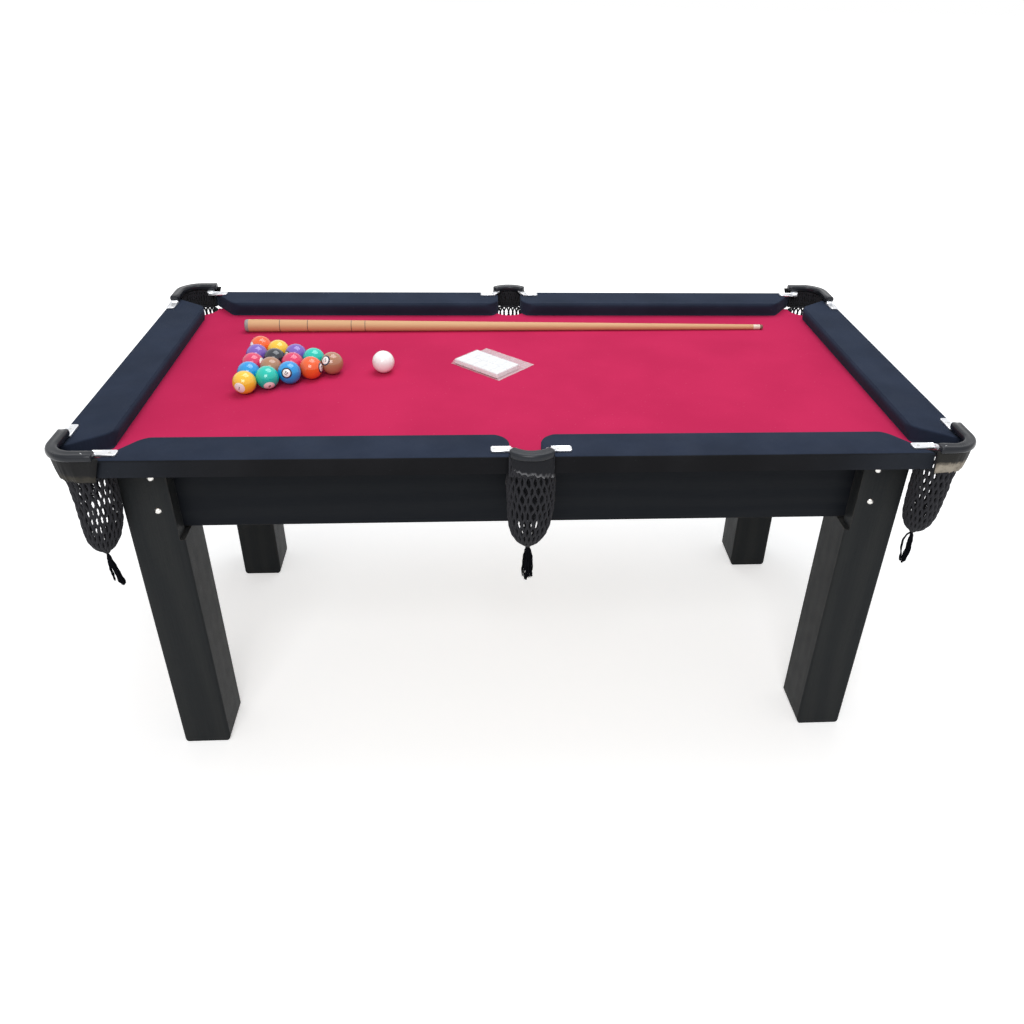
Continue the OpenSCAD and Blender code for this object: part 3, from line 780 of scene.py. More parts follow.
class WoodGrain(Effect):
    """Long fibres and growth bands that run along X of the vector given."""

    name = "wood_grain"
    inputs = (
        Plug("Vector", "Vector"), Plug("Light", "Color"), Plug("Dark", "Color"),
        Plug("Bands", "Float", 28.0), Plug("Pores", "Float", 0.5), Plug("Relief", "Float", 0.3),
    )
    outputs = (Plug("Colour", "Color"), Plug("Normal", "Vector"))

    @classmethod
    def draw(cls, g: Graph, i: bpy.types.NodeOutputs) -> dict[str, Socket]:
        """Draws growth bands, fibres and pores.

        Args:
            g: The group's graph.
            i: The group's inputs.

        Returns:
            The sockets that feed each output, by name.
        """
        waver = g.noise(g.stretch(i["Vector"], (1.2, 6.0, 6.0)), 1.0, 2.0)
        parts = g.add("SeparateXYZ", {0: i["Vector"]})
        across = g.math("ADD", parts.outputs[1], g.math("MULTIPLY", parts.outputs[2], 0.7))
        shifted = g.math("ADD", across, g.math("MULTIPLY", waver, 0.08))
        turn = g.math("MULTIPLY", g.math("MULTIPLY", shifted, i["Bands"]), FULL_TURN)
        bands = g.ramp(g.math("SINE", turn), -1.0, 1.0)
        fibres = g.noise(g.stretch(i["Vector"], (9.0, 420.0, 420.0)), 1.0, 4.0, 0.65)
        pores = g.ramp(g.noise(g.stretch(i["Vector"], (26.0, 900.0, 900.0)), 1.0, 1.0), 0.6, 0.7)
        tone = g.math("ADD", g.math("MULTIPLY", bands, 0.35), g.math("MULTIPLY", fibres, 0.65))
        dark = g.math("MULTIPLY", pores, i["Pores"])
        shade = g.math("SUBTRACT", tone, g.math("MULTIPLY", dark, 0.5), clamp=True)
        height = g.math("SUBTRACT", fibres, dark)
        return {
            "Colour": g.mix(shade, i["Dark"], i["Light"]),
            "Normal": g.bump(height, 0.0003, i["Relief"]),
        }


class EdgeWear(Effect):
    """Marks the outer edges of a solid, where handling rubs the finish through."""

    name = "edge_wear"
    inputs = (
        Plug("Vector", "Vector"), Plug("Colour", "Color"), Plug("Worn", "Color"),
        Plug("Width", "Float", 0.002), Plug("Amount", "Float", 0.5),
    )
    outputs = (Plug("Colour", "Color"),)

    @classmethod
    def draw(cls, g: Graph, i: bpy.types.NodeOutputs) -> dict[str, Socket]:
        """Finds the edges with a bevel and breaks them into patches.

        Args:
            g: The group's graph.
            i: The group's inputs.

        Returns:
            The sockets that feed each output, by name.
        """
        round_edge = g.add("Bevel", {"Radius": i["Width"]}, samples=4).outputs[0]
        plain = g.add("NewGeometry").outputs["Normal"]
        same = g.add("VectorMath", {0: round_edge, 1: plain}, operation="DOT_PRODUCT")
        edge = g.ramp(same.outputs["Value"], 0.995, 0.86)
        patches = g.ramp(g.noise(i["Vector"], 45.0, 4.0, 0.6), 0.4, 0.62)
        mask = g.math("MULTIPLY", g.math("MULTIPLY", edge, patches), i["Amount"])
        return {"Colour": g.mix(mask, i["Colour"], i["Worn"])}


class SettledDust(Effect):
    """Pale dust on faces that look up, in soft patches."""

    name = "settled_dust"
    inputs = (
        Plug("Vector", "Vector"), Plug("Colour", "Color"), Plug("Dust", "Color"),
        Plug("Amount", "Float", 0.2),
    )
    outputs = (Plug("Colour", "Color"),)

    @classmethod
    def draw(cls, g: Graph, i: bpy.types.NodeOutputs) -> dict[str, Socket]:
        """Draws dust where the surface looks up.

        Args:
            g: The group's graph.
            i: The group's inputs.

        Returns:
            The sockets that feed each output, by name.
        """
        up = g.add("SeparateXYZ", {0: g.add("NewGeometry").outputs["Normal"]}).outputs[2]
        facing = g.ramp(up, 0.2, 0.95)
        patches = g.ramp(g.noise(i["Vector"], 14.0, 5.0, 0.65), 0.35, 0.75)
        mask = g.math("MULTIPLY", g.math("MULTIPLY", facing, patches), i["Amount"])
        return {"Colour": g.mix(mask, i["Colour"], i["Dust"])}


class HandlingMarks(Effect):
    """Fine scratches and smears that vary a surface's gloss."""

    name = "handling_marks"
    inputs = (Plug("Vector", "Vector"), Plug("Base", "Float", 0.4), Plug("Spread", "Float", 0.15))
    outputs = (Plug("Roughness"),)

    @classmethod
    def draw(cls, g: Graph, i: bpy.types.NodeOutputs) -> dict[str, Socket]:
        """Draws smears and fine scratches.

        Args:
            g: The group's graph.
            i: The group's inputs.

        Returns:
            The sockets that feed each output, by name.
        """
        smear = g.noise(i["Vector"], 22.0, 4.0, 0.6)
        lines = g.noise(g.stretch(i["Vector"], (700.0, 60.0, 35.0)), 1.0, 2.0)
        both = g.math("ADD", g.math("MULTIPLY", smear, 0.7), g.math("MULTIPLY", lines, 0.3))
        offset = g.math(
            "MULTIPLY", g.math("SUBTRACT", both, 0.5), g.math("MULTIPLY", i["Spread"], 2.0)
        )
        return {"Roughness": g.math("ADD", i["Base"], offset, clamp=True)}


class TwistedCord(Effect):
    """Strands laid round a cord, from texture places along and round its tube."""

    name = "twisted_cord"
    inputs = (
        Plug("Colour", "Color"), Plug("Shade", "Color"), Plug("Turns", "Float", 180.0),
        Plug("Relief", "Float", 0.7),
    )
    outputs = (Plug("Colour", "Color"), Plug("Normal", "Vector"))

    @classmethod
    def draw(cls, g: Graph, i: bpy.types.NodeOutputs) -> dict[str, Socket]:
        """Draws strands that wind round the tube.

        Args:
            g: The group's graph.
            i: The group's inputs.

        Returns:
            The sockets that feed each output, by name.
        """
        uv = g.add("TexCoord").outputs["UV"]
        parts = g.add("SeparateXYZ", {0: uv})
        along = g.math("MULTIPLY", parts.outputs[1], i["Turns"])
        round_it = g.math("MULTIPLY", parts.outputs[0], 3.0)
        turn = g.math("MULTIPLY", g.math("ADD", along, round_it), FULL_TURN)
        strand = g.ramp(g.math("SINE", turn), -1.0, 1.0)
        return {
            "Colour": g.mix(strand, i["Shade"], i["Colour"]),
            "Normal": g.bump(strand, 0.0005, i["Relief"]),
        }


class Pitting(Effect):
    """The grain of a rubber moulding, a casting or pressed chalk."""

    name = "pitting"
    inputs = (Plug("Vector", "Vector"), Plug("Scale", "Float", 900.0), Plug("Depth", "Float", 0.3))
    outputs = (Plug("Mask"), Plug("Normal", "Vector"))

    @classmethod
    def draw(cls, g: Graph, i: bpy.types.NodeOutputs) -> dict[str, Socket]:
        """Draws a fine grain on a broader one.

        Args:
            g: The group's graph.
            i: The group's inputs.

        Returns:
            The sockets that feed each output, by name.
        """
        fine = g.add("TexNoise", {"Vector": i["Vector"], "Scale": i["Scale"], "Detail": 3.0})
        broad = g.noise(i["Vector"], 120.0, 2.0)
        height = g.math("ADD", fine.outputs[0], g.math("MULTIPLY", broad, 0.6))
        return {
            "Mask": g.ramp(fine.outputs[0], 0.35, 0.7),
            "Normal": g.bump(height, 0.0004, i["Depth"]),
        }


# ---------------------------------------------------------------- finishes


@dataclass(frozen=True)
class Finish:
    """How a surface looks. Each kind of finish draws its own shader."""

    name: str
    colour: Colour

    def material(self) -> bpy.types.Material:
        """Makes the material, or finds the one made before.

        Returns:
            The material.
        """
        known = bpy.data.materials.get(self.name)
        if known is not None:
            return known
        made = bpy.data.materials.new(self.name)
        made.use_nodes = True
        made.diffuse_color = (*self.colour, 1.0)
        graph = Graph(made.node_tree)
        made.node_tree.nodes.clear()
        shader = graph.add("BsdfPrincipled")
        output = graph.add("OutputMaterial")
        place = graph.add("TexCoord").outputs["Object"]
        self.shade(graph, shader.inputs, place)
        made.node_tree.links.new(self.surface(graph, shader.outputs[0]), output.inputs["Surface"])
        return made

    def surface(self, g: Graph, principled: Socket) -> Socket:
        """Lets a finish put another shader over the principled one."""
        return principled

    def shade(self, g: Graph, bsdf: bpy.types.NodeInputs, place: Socket) -> None:
        """Draws the nodes that feed the principled shader."""
        raise NotImplementedError


@dataclass(frozen=True)
class Felt(Finish):
    """Brushed wool cloth."""

    deep: Colour
    sheen: float = 0.1

    def shade(self, g: Graph, bsdf: bpy.types.NodeInputs, place: Socket) -> None:
        """Feeds the shader a brushed nap.

        Args:
            g: The material's graph.
            bsdf: The principled shader's inputs.
            place: The surface's place in the piece.
        """
        nap = FeltNap.use(g, Vector=place, Colour=self.colour, Shade=self.deep)
        g.feed(
            bsdf,
            {
                "Base Color": nap["Colour"], "Normal": nap["Normal"], "Roughness": 0.95,
                "Sheen Weight": self.sheen, "Sheen Roughness": 0.5, "Sheen Tint": self.colour,
                "Specular IOR Level": 0.06,
            },
        )


@dataclass(frozen=True)
class Woven(Finish):
    """Tightly woven cloth stretched over a rail."""

    deep: Colour
    sheen: float = 0.06
    sheen_tint: Colour = (0.5, 0.6, 0.8)
    threads: float = 5200.0

    def shade(self, g: Graph, bsdf: bpy.types.NodeInputs, place: Socket) -> None:
        """Feeds the shader a dusty weave.

        Args:
            g: The material's graph.
            bsdf: The principled shader's inputs.
            place: The surface's place in the piece.
        """
        weave = ClothWeave.use(
            g, Vector=place, Colour=self.colour, Shade=self.deep, Threads=self.threads
        )
        dust = SettledDust.use(
            g, Vector=place, Colour=weave["Colour"], Dust=(0.12, 0.13, 0.16), Amount=0.04
        )
        g.feed(
            bsdf,
            {
                "Base Color": dust["Colour"], "Normal": weave["Normal"], "Roughness": 0.82,
                "Sheen Weight": self.sheen, "Sheen Roughness": 0.4, "Sheen Tint": self.sheen_tint,
                "Specular IOR Level": 0.07,
            },
        )


@dataclass(frozen=True)
class Wood(Finish):
    """Wood whose grain runs along one axis, stained, bare or varnished."""

    dark: Colour
    axis: Axis = Axis.X
    turn: float = 0.0
    bands: float = 28.0
    pores: float = 0.5
    relief: float = 0.3
    rough: float = 0.5
    coat: float = 0.0
    worn: Colour = (0.2, 0.15, 0.1)
    wear: float = 0.0
    dust: float = 0.0
    shine: float = 0.09

    def shade(self, g: Graph, bsdf: bpy.types.NodeInputs, place: Socket) -> None:
        """Feeds the shader turned grain with wear and dust.

        Args:
            g: The material's graph.
            bsdf: The principled shader's inputs.
            place: The surface's place in the piece.
        """
        turns = {Axis.X: (0.0, 0.0, self.turn), Axis.Y: (0.0, 0.0, math.pi / 2)}
        turned = g.add(
            "VectorRotate",
            {"Vector": place, "Rotation": turns.get(self.axis, (0.0, math.pi / 2, 0.0))},
            rotation_type="EULER_XYZ",
        ).outputs[0]
        grain = WoodGrain.use(
            g, Vector=turned, Light=self.colour, Dark=self.dark, Bands=self.bands, Pores=self.pores,
            Relief=self.relief,
        )
        worn = EdgeWear.use(
            g, Vector=place, Colour=grain["Colour"], Worn=self.worn, Width=0.0025, Amount=self.wear
        )
        dusty = SettledDust.use(
            g, Vector=place, Colour=worn["Colour"], Dust=(0.3, 0.29, 0.27), Amount=self.dust
        )
        marks = HandlingMarks.use(g, Vector=place, Base=self.rough, Spread=0.12)
        g.feed(
            bsdf,
            {
                "Base Color": dusty["Colour"], "Roughness": marks["Roughness"],
                "Normal": grain["Normal"], "Coat Weight": self.coat, "Coat Roughness": 0.25,
                "Specular IOR Level": self.shine,
            },
        )


@dataclass(frozen=True)
class Moulded(Finish):
    """Rubber, leather or plastic with a grain and rubbed edges."""

    rough: float = 0.45
    worn: Colour = (0.2, 0.2, 0.2)
    wear: float = 0.3
    grain: float = 900.0
    depth: float = 0.3
    coat: float = 0.0
    shine: float = 0.3
    blotch: Colour | None = None

    def shade(self, g: Graph, bsdf: bpy.types.NodeInputs, place: Socket) -> None:
        """Feeds the shader a pitted skin with worn edges.

        Args:
            g: The material's graph.
            bsdf: The principled shader's inputs.
            place: The surface's place in the piece.
        """
        pits = Pitting.use(g, Vector=place, Scale=self.grain, Depth=self.depth)
        base = g.mix(g.math("MULTIPLY", pits["Mask"], 0.25), self.colour, self.worn)
        if self.blotch is not None:
            patches = g.ramp(g.noise(place, 60.0, 4.0, 0.65), 0.42, 0.7)
            base = g.mix(patches, base, self.blotch)
        worn = EdgeWear.use(
            g, Vector=place, Colour=base, Worn=self.worn, Width=0.0015, Amount=self.wear
        )
        marks = HandlingMarks.use(g, Vector=place, Base=self.rough, Spread=0.15)
        g.feed(
            bsdf,
            {
                "Base Color": worn["Colour"], "Roughness": marks["Roughness"],
                "Normal": pits["Normal"], "Coat Weight": self.coat, "Coat Roughness": 0.3,
                "Specular IOR Level": self.shine,
            },
        )


@dataclass(frozen=True)
class Metal(Finish):
    """Cast aluminium, zinc plate or polished steel."""

    rough: float = 0.35
    grime: Colour = (0.12, 0.12, 0.13)
    grime_amount: float = 0.4
    grain: float = 700.0
    depth: float = 0.3

    def shade(self, g: Graph, bsdf: bpy.types.NodeInputs, place: Socket) -> None:
        """Feeds the shader pitted metal with grime in patches.

        Args:
            g: The material's graph.
            bsdf: The principled shader's inputs.
            place: The surface's place in the piece.
        """
        pits = Pitting.use(g, Vector=place, Scale=self.grain, Depth=self.depth)
        patches = g.ramp(g.noise(place, 90.0, 4.0, 0.6), 0.45, 0.75)
        base = g.mix(g.math("MULTIPLY", patches, self.grime_amount), self.colour, self.grime)
        marks = HandlingMarks.use(g, Vector=place, Base=self.rough, Spread=0.15)
        g.feed(
            bsdf,
            {
                "Base Color": base, "Metallic": 1.0, "Roughness": marks["Roughness"],
                "Normal": pits["Normal"],
            },
        )


@dataclass(frozen=True)
class Glossy(Finish):
    """Polished resin, as on a ball: a clear skin over a colour with faint clouds in it."""

    cloud: float = 0.03
    rough: float = 0.12

    def shade(self, g: Graph, bsdf: bpy.types.NodeInputs, place: Socket) -> None:
        """Feeds the shader faint clouds under a clear skin.

        Args:
            g: The material's graph.
            bsdf: The principled shader's inputs.
            place: The surface's place in the piece.
        """
        clouds = g.ramp(g.noise(place, 70.0, 3.0), 0.3, 0.7)
        pale = tuple(min(1.0, c * 1.15 + 0.02) for c in self.colour)
        base = g.mix(g.math("MULTIPLY", clouds, self.cloud * 5), self.colour, pale)
        marks = HandlingMarks.use(g, Vector=place, Base=self.rough, Spread=0.05)
        g.feed(
            bsdf,
            {
                "Base Color": base, "Roughness": marks["Roughness"], "Coat Weight": 0.35,
                "Coat Roughness": 0.04, "Specular IOR Level": 0.5,
            },
        )


@dataclass(frozen=True)
class Cord(Finish):
    """Twisted or braided cord."""

    deep: Colour
    turns: float = 180.0

    def shade(self, g: Graph, bsdf: bpy.types.NodeInputs, place: Socket) -> None:
        """Feeds the shader twisted strands with pale fuzz.

        Args:
            g: The material's graph.
            bsdf: The principled shader's inputs.
            place: The surface's place in the piece.
        """
        twist = TwistedCord.use(g, Colour=self.colour, Shade=self.deep, Turns=self.turns)
        fuzz = g.ramp(g.noise(place, 1200.0, 2.0), 0.4, 0.75)
        pale = tuple(c * 1.8 + 0.0015 for c in self.colour)
        g.feed(
            bsdf,
            {
                "Base Color": g.mix(g.math("MULTIPLY", fuzz, 0.4), twist["Colour"], pale),
                "Roughness": 0.85, "Normal": twist["Normal"], "Specular IOR Level": 0.0,
            },
        )


@dataclass(frozen=True)
class Film(Finish):
    """Thin clear film with creases that catch the light, drawn as a near-white sheet that lets part
    of the light through: its whiteness is painted reflection, and its darker crease lines are
    painted shade.
    """

    crease: Colour
    opacity: float = 0.36

    def shade(self, g: Graph, bsdf: bpy.types.NodeInputs, place: Socket) -> None:
        """Feeds the shader a creased film, whose darker crease lines are painted shade.

        Args:
            g: The material's graph.
            bsdf: The principled shader's inputs.
            place: The surface's place in the piece.
        """
        creases = g.noise(place, 85.0, 4.0, 0.6)
        # Darker crease lines in the film's colour: painted shade.
        lines = g.ramp(g.noise(place, 130.0, 4.0, 0.65), 0.5, 0.6)
        g.feed(
            bsdf,
            {
                "Base Color": g.mix(lines, self.colour, self.crease), "Roughness": 0.18,
                "IOR": 1.45, "Specular IOR Level": 0.8, "Normal": g.bump(creases, 0.002, 0.8),
            },
        )

    def surface(self, g: Graph, principled: Socket) -> Socket:
        """Lets light through the film, apart from its creases and its rim, where more of its pale
        cover shows as painted reflection.

        Args:
            g: The material's graph.
            principled: The principled shader.

        Returns:
            The surface's shader.
        """
        place = g.add("TexCoord").outputs["Object"]
        # More pale cover at the creases and at the rim: painted reflection.
        crease = g.ramp(g.noise(place, 120.0, 5.0, 0.7), 0.52, 0.66)
        rim = g.add("LayerWeight", {"Blend": 0.35}).outputs["Facing"]
        shine = g.math("ADD", g.math("MULTIPLY", crease, 0.3), g.math("MULTIPLY", rim, 0.2))
        cover = g.math("ADD", shine, self.opacity, clamp=True)
        clear = g.add("BsdfTransparent", {"Color": (0.97, 0.97, 0.98)}).outputs[0]
        mixed = g.add("MixShader", {0: cover})
        g.put(mixed.inputs[1], clear)
        g.put(mixed.inputs[2], principled)
        return mixed.outputs[0]


class FootBand(Effect):
    """Shades a strip along the foot of a hanging sheet, from its texture places."""

    name = "foot_band"
    inputs = (
        Plug("Vector", "Vector"), Plug("Colour", "Color"), Plug("Foot", "Color"),
        Plug("Depth", "Float", 0.16),
    )
    outputs = (Plug("Colour", "Color"),)

    @classmethod
    def draw(cls, g: Graph, i: bpy.types.NodeOutputs) -> dict[str, Socket]:
        """Draws a patchy band with a ragged edge.

        Args:
            g: The group's graph.
            i: The group's inputs.

        Returns:
            The sockets that feed each output, by name.
        """
        across = g.add("SeparateXYZ", {0: g.add("TexCoord").outputs["UV"]}).outputs[0]
        away = g.math("ABSOLUTE", g.math("SUBTRACT", across, 0.5))
        ragged = g.math("MULTIPLY", g.noise(i["Vector"], 160.0, 3.0), 0.1)
        edge = g.math("SUBTRACT", g.math("ADD", i["Depth"], ragged), away)
        mask = g.ramp(edge, 0.0, 0.09)
        blotch = g.ramp(g.noise(i["Vector"], 75.0, 4.0, 0.6), 0.25, 0.6)
        patchy = g.math("ADD", g.math("MULTIPLY", blotch, 0.5), 0.5)
        mask = g.math("MULTIPLY", mask, patchy)
        return {"Colour": g.mix(mask, i["Colour"], i["Foot"])}


@dataclass(frozen=True)
class Skirted(Finish):
    """Thin leather with a paler band along its foot: real scuffing on most skirts, and a painted
    highlight along the torn skirt's edge.
    """

    foot: Colour
    band: float = 0.16

    def shade(self, g: Graph, bsdf: bpy.types.NodeInputs, place: Socket) -> None:
        """Feeds the shader leather with a paler foot band, which is rubbing on most skirts and a
        painted highlight on the torn one.

        Args:
            g: The material's graph.
            bsdf: The principled shader's inputs.
            place: The surface's place in the piece.
        """
        pits = Pitting.use(g, Vector=place, Scale=650.0, Depth=0.4)
        rubbed = tuple(c * 2.2 for c in self.colour)
        base = g.mix(g.math("MULTIPLY", pits["Mask"], 0.4), self.colour, rubbed)
        # The foot band is rubbing, except on the torn skirt, where it is a painted highlight.
        band = FootBand.use(g, Vector=place, Colour=base, Foot=self.foot, Depth=self.band)
        marks = HandlingMarks.use(g, Vector=place, Base=0.5, Spread=0.15)
        g.feed(
            bsdf,
            {
                "Base Color": band["Colour"], "Roughness": marks["Roughness"],
                "Normal": pits["Normal"], "Specular IOR Level": 0.1,
            },
        )


# ---------------------------------------------------------------- palette


BED_FELT = Felt("bed_felt", (0.575, 0.026, 0.102), deep=(0.475, 0.019, 0.08))
RAIL_WEAVE = Woven("rail_weave", (0.0235, 0.0325, 0.057), deep=(0.015, 0.021, 0.037))
# The rail cloth's outer faces take this darker, greyer copy of the same cloth: painted shade.
RAIL_SHADED_SIDE = Woven("rail_side_weave", (0.016, 0.016, 0.018), deep=(0.009, 0.009, 0.010))
BLACK_STAIN = (0.0105, 0.012, 0.0145)
STAIN_DARK = (0.004, 0.0055, 0.0085)
STAIN_WORN = (0.075, 0.068, 0.06)
APRON_LONG = Wood(
    "black_wood_x", BLACK_STAIN, STAIN_DARK, Axis.X, worn=STAIN_WORN, wear=0.6, dust=0.06,
    relief=0.35
)
APRON_END = Wood(
    "black_wood_y", BLACK_STAIN, STAIN_DARK, Axis.Y, worn=STAIN_WORN, wear=0.6, dust=0.06,
    relief=0.35
)
LEG_WOOD = Wood(
    "black_wood_z", (0.0275, 0.029, 0.029), (0.0135, 0.0155, 0.0175), Axis.Z, worn=STAIN_WORN,
    wear=0.8, dust=0.1, relief=0.4,
)
PINE_Y = Wood("pine_y", (0.62, 0.42, 0.23), (0.42, 0.25, 0.11), Axis.Y, dust=0.1, rough=0.7)
PINE_X = Wood("pine_x", (0.62, 0.42, 0.23), (0.42, 0.25, 0.11), Axis.X, dust=0.1, rough=0.7)
PINE_Z = Wood("pine_z", (0.6, 0.4, 0.22), (0.4, 0.24, 0.11), Axis.Z, dust=0.1, rough=0.7)
BOARD = Moulded(
    "slab_board", (0.3, 0.19, 0.11), rough=0.8, worn=(0.5, 0.36, 0.22), grain=500.0, depth=0.5,
    blotch=(0.36, 0.23, 0.13),
)
CUSHION_RUBBER = Moulded("cushion_rubber", (0.03, 0.03, 0.03), rough=0.7)
LIP_RUBBER = Moulded(
    "lip_rubber", (
        0.011, 0.013, 0.018
    ), rough=0.3, worn=(0.03, 0.032, 0.036), wear=0.3, grain=700.0,
    depth=0.12, coat=0.25, shine=0.16,
)
SKIRT_LEATHER = Skirted("skirt_leather", (0.012, 0.012, 0.0125), foot=(0.05, 0.045, 0.036))
# The torn skirt's pale grey foot band is a painted highlight along its torn edge.
SKIRT_TORN_HIGHLIT = Skirted("skirt_torn", (0.011, 0.0115, 0.014), foot=(0.22, 0.22, 0.23), band=0.09)
SKIRT_SCUFFED = Skirted("skirt_scuffed", (0.02, 0.0195, 0.018), foot=(0.42, 0.37, 0.3), band=0.24)
CAST = Metal("cast_aluminium", (0.35, 0.365, 0.41), rough=0.42, grime=(0.1, 0.11, 0.13))
BRIGHT_STEEL = Metal("bright_steel", (0.75, 0.73, 0.7), rough=0.22, grime_amount=0.2)
ZINC = Metal("zinc", (0.62, 0.62, 0.6), rough=0.4, grime_amount=0.5)
NET_CORD = Cord("net_cord", (0.0048, 0.0056, 0.009), deep=(0.0018, 0.002, 0.0032))
TASSEL_CORD = Cord("tassel_cord", (0.009, 0.0095, 0.013), deep=(0.003, 0.003, 0.004), turns=260.0)
CUE_WOOD = Wood(
    "cue_wood", (0.93, 0.72, 0.55), (0.66, 0.42, 0.28), Axis.X, bands=90.0, pores=0.7, rough=0.32,
    coat=0.5, relief=0.15, turn=math.radians(-0.6),
)
CUE_RING = Moulded("cue_ring", (0.06, 0.035, 0.025), rough=0.35, grain=1500.0, coat=0.5)
BUMPER = Moulded(
    "bumper_rubber", (0.3, 0.27, 0.25), rough=0.6, worn=(0.4, 0.37, 0.34), grain=1200.0
)
FERRULE = Moulded(
    "ferrule_plastic", (0.55, 0.4, 0.28), rough=0.3, worn=(0.4, 0.3, 0.22), grain=1500.0, depth=0.1
)
TIP = Moulded("tip_leather", (0.14, 0.07, 0.05), rough=0.8, worn=(0.2, 0.13, 0.1), grain=1500.0)
# The film's near-white colour stands for painted reflection, and its crease colour for painted
# shade.
FILM = Film("clear_film", (0.93, 0.91, 0.95), crease=(0.3, 0.28, 0.42))
CHALK = Moulded(
    "white_chalk", (0.86, 0.86, 0.86), rough=0.9, worn=(0.95, 0.95, 0.95), grain=1300.0, depth=0.4
)
BADGE = Glossy("ball_badge", (0.93, 0.92, 0.9), cloud=0.02)
BADGE_RING = Glossy("ball_badge_ring", (0.012, 0.02, 0.05), cloud=0.02)
DIGIT = Glossy("ball_digit", (0.012, 0.012, 0.015), cloud=0.02)
CUE_BALL_RESIN = Glossy("resin_white", (0.96, 0.95, 0.93), cloud=0.02)


class Resin(Enum):
    """The colours of the numbered balls, in the order of their numbers."""

    YELLOW = (0.95, 0.56, 0.035)
    BLUE = (0.01, 0.3, 0.72)
    RED = (0.72, 0.035, 0.13)
    PURPLE = (0.19, 0.1, 0.48)
    ORANGE = (0.88, 0.12, 0.02)
    GREEN = (0.0, 0.55, 0.44)
    BROWN = (0.42, 0.2, 0.11)
    BLACK = (0.02, 0.024, 0.035)

    def finish(self) -> Glossy:
        """Gives the finish of a ball of this colour."""
        return Glossy("resin_" + self.name.lower(), self.value)


# ---------------------------------------------------------------- sub-assemblies


@dataclass
class SubAssembly:
    """A group of pieces that belong together. It makes its meshes and dresses them."""

    sizes: TableSizes
    pieces: list[bpy.types.Object] = field(default_factory=list)

    def keep(
        self, piece: bpy.types.Object, body: str, slot: str, nodes: Sequence[str] = ()
    ) -> bpy.types.Object:
        """Ties a piece to its body and hides the CAD nodes that it stands for.

        Args:
            piece: The piece, in place.
            body: The body that it moves with.
            slot: The record's material slot. Not used.
            nodes: The CAD nodes that it replaces.

        Returns:
            The piece.
        """
        if nodes:
            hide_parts(*nodes)
        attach(piece, body)
        self.pieces.append(piece)
        LOG.info("%s: %d faces on %s", piece.name, len(piece.data.polygons), body)
        return piece

    def build(self) -> None:
        """Makes every piece of the group."""
        raise NotImplementedError


@dataclass
class Woodwork(SubAssembly):
    """The CAD pieces whose shape stays: legs, aprons, slab, rail cores and fasteners."""

    def build(self) -> None:
        """Gives each carried-over CAD node its material."""
        dresses = {
            "apron_front": APRON_LONG, "apron_back": APRON_LONG, "apron_left": APRON_END,
            "apron_right": APRON_END, "cross_bearers": PINE_Y, "corner_blocks": PINE_Z,
            "bed_slab": BOARD, "cushion_rubbers": CUSHION_RUBBER, "leg_bolts": BRIGHT_STEEL,
            "leg_nuts": ZINC, "rail_bolts": ZINC, "ear_bolts": ZINC, "slab_screws": ZINC,
            "rail_core_left_end": PINE_Y, "rail_core_right_end": PINE_Y,
        }
        for depth in Depth:
            for side in (Place.LEFT, Place.RIGHT):
                spot = f"{depth.name}_{side.name}".lower()
                dresses["leg_" + spot] = LEG_WOOD
                dresses["rail_core_" + spot] = PINE_X
        for node, finish in dresses.items():
            self.dress(node, finish)

    def dress(self, node: str, finish: Finish) -> None:
        """Gives a CAD node its material.

        Args:
            node: The node's name.
            finish: The finish it takes.
        """
        part = frame["nodes"][node]
        if not part.material_slots:
            part.data.materials.append(finish.material())
        for slot in part.material_slots:
            slot.material = finish.material()
        LOG.info("%s: %s", node, finish.name)


@dataclass
class Bed(SubAssembly):
    """The cloth stretched over the slab, which rolls down into the six pockets."""

    top_insets: tuple[Point2, ...] = (
        (0.0030, 0.0), (0.0020, 0.0), (0.0012, -0.0002), (0.0006, -0.0006), (0.0002, -0.0013),
    )
    wall: float = 0.0001

    def build(self) -> None:
        top, bottom = self.sizes.cloth_top, self.sizes.slab_bottom + 0.001
        rings = [self.ring(inset, top + drop) for inset, drop in self.top_insets]
        rings += [self.ring(-self.wall, z) for z in (top - 0.002, top - 0.009, bottom)]
        draft = MeshDraft()
        draft.loft(rings[::-1], caps=(False, True))
        cloth = draft.build("bed_cloth_sheet", [BED_FELT.material()])
        self.keep(cloth, "table", "bed_cloth", ["bed_cloth"])

    def ring(self, inset: float, z: float) -> list[Point3]:
        """Outlines the cloth at one level, counter-clockwise from above.

        Args:
            inset: How far the outline is drawn in.
            z: The level.

        Returns:
            The outline's points.
        """
        s = self.sizes
        half_l, half_w = s.slab_half_l + 0.001 - inset, s.slab_half_w + 0.001 - inset
        r = s.hole_r + inset
        (cx, cy), (_, my) = s.corner, s.middle
        first = math.degrees(math.asin((half_w - my) / r))
        start = 180 - math.degrees(math.asin((half_w - cy) / r))
        end = 360 - math.degrees(math.acos((half_l - cx) / r))
        quarter = [(half_l, 0.0)]
        quarter += arc((cx, cy), r, end, start, 26)
        quarter += arc((0.0, my), r, first, -90, 18)
        left = [(-x, y) for x, y in quarter[-2::-1]]
        upper = quarter + left
        lower = [(-x, -y) for x, y in upper[1:-1]]
        return [(x, y, z) for x, y in upper + lower]


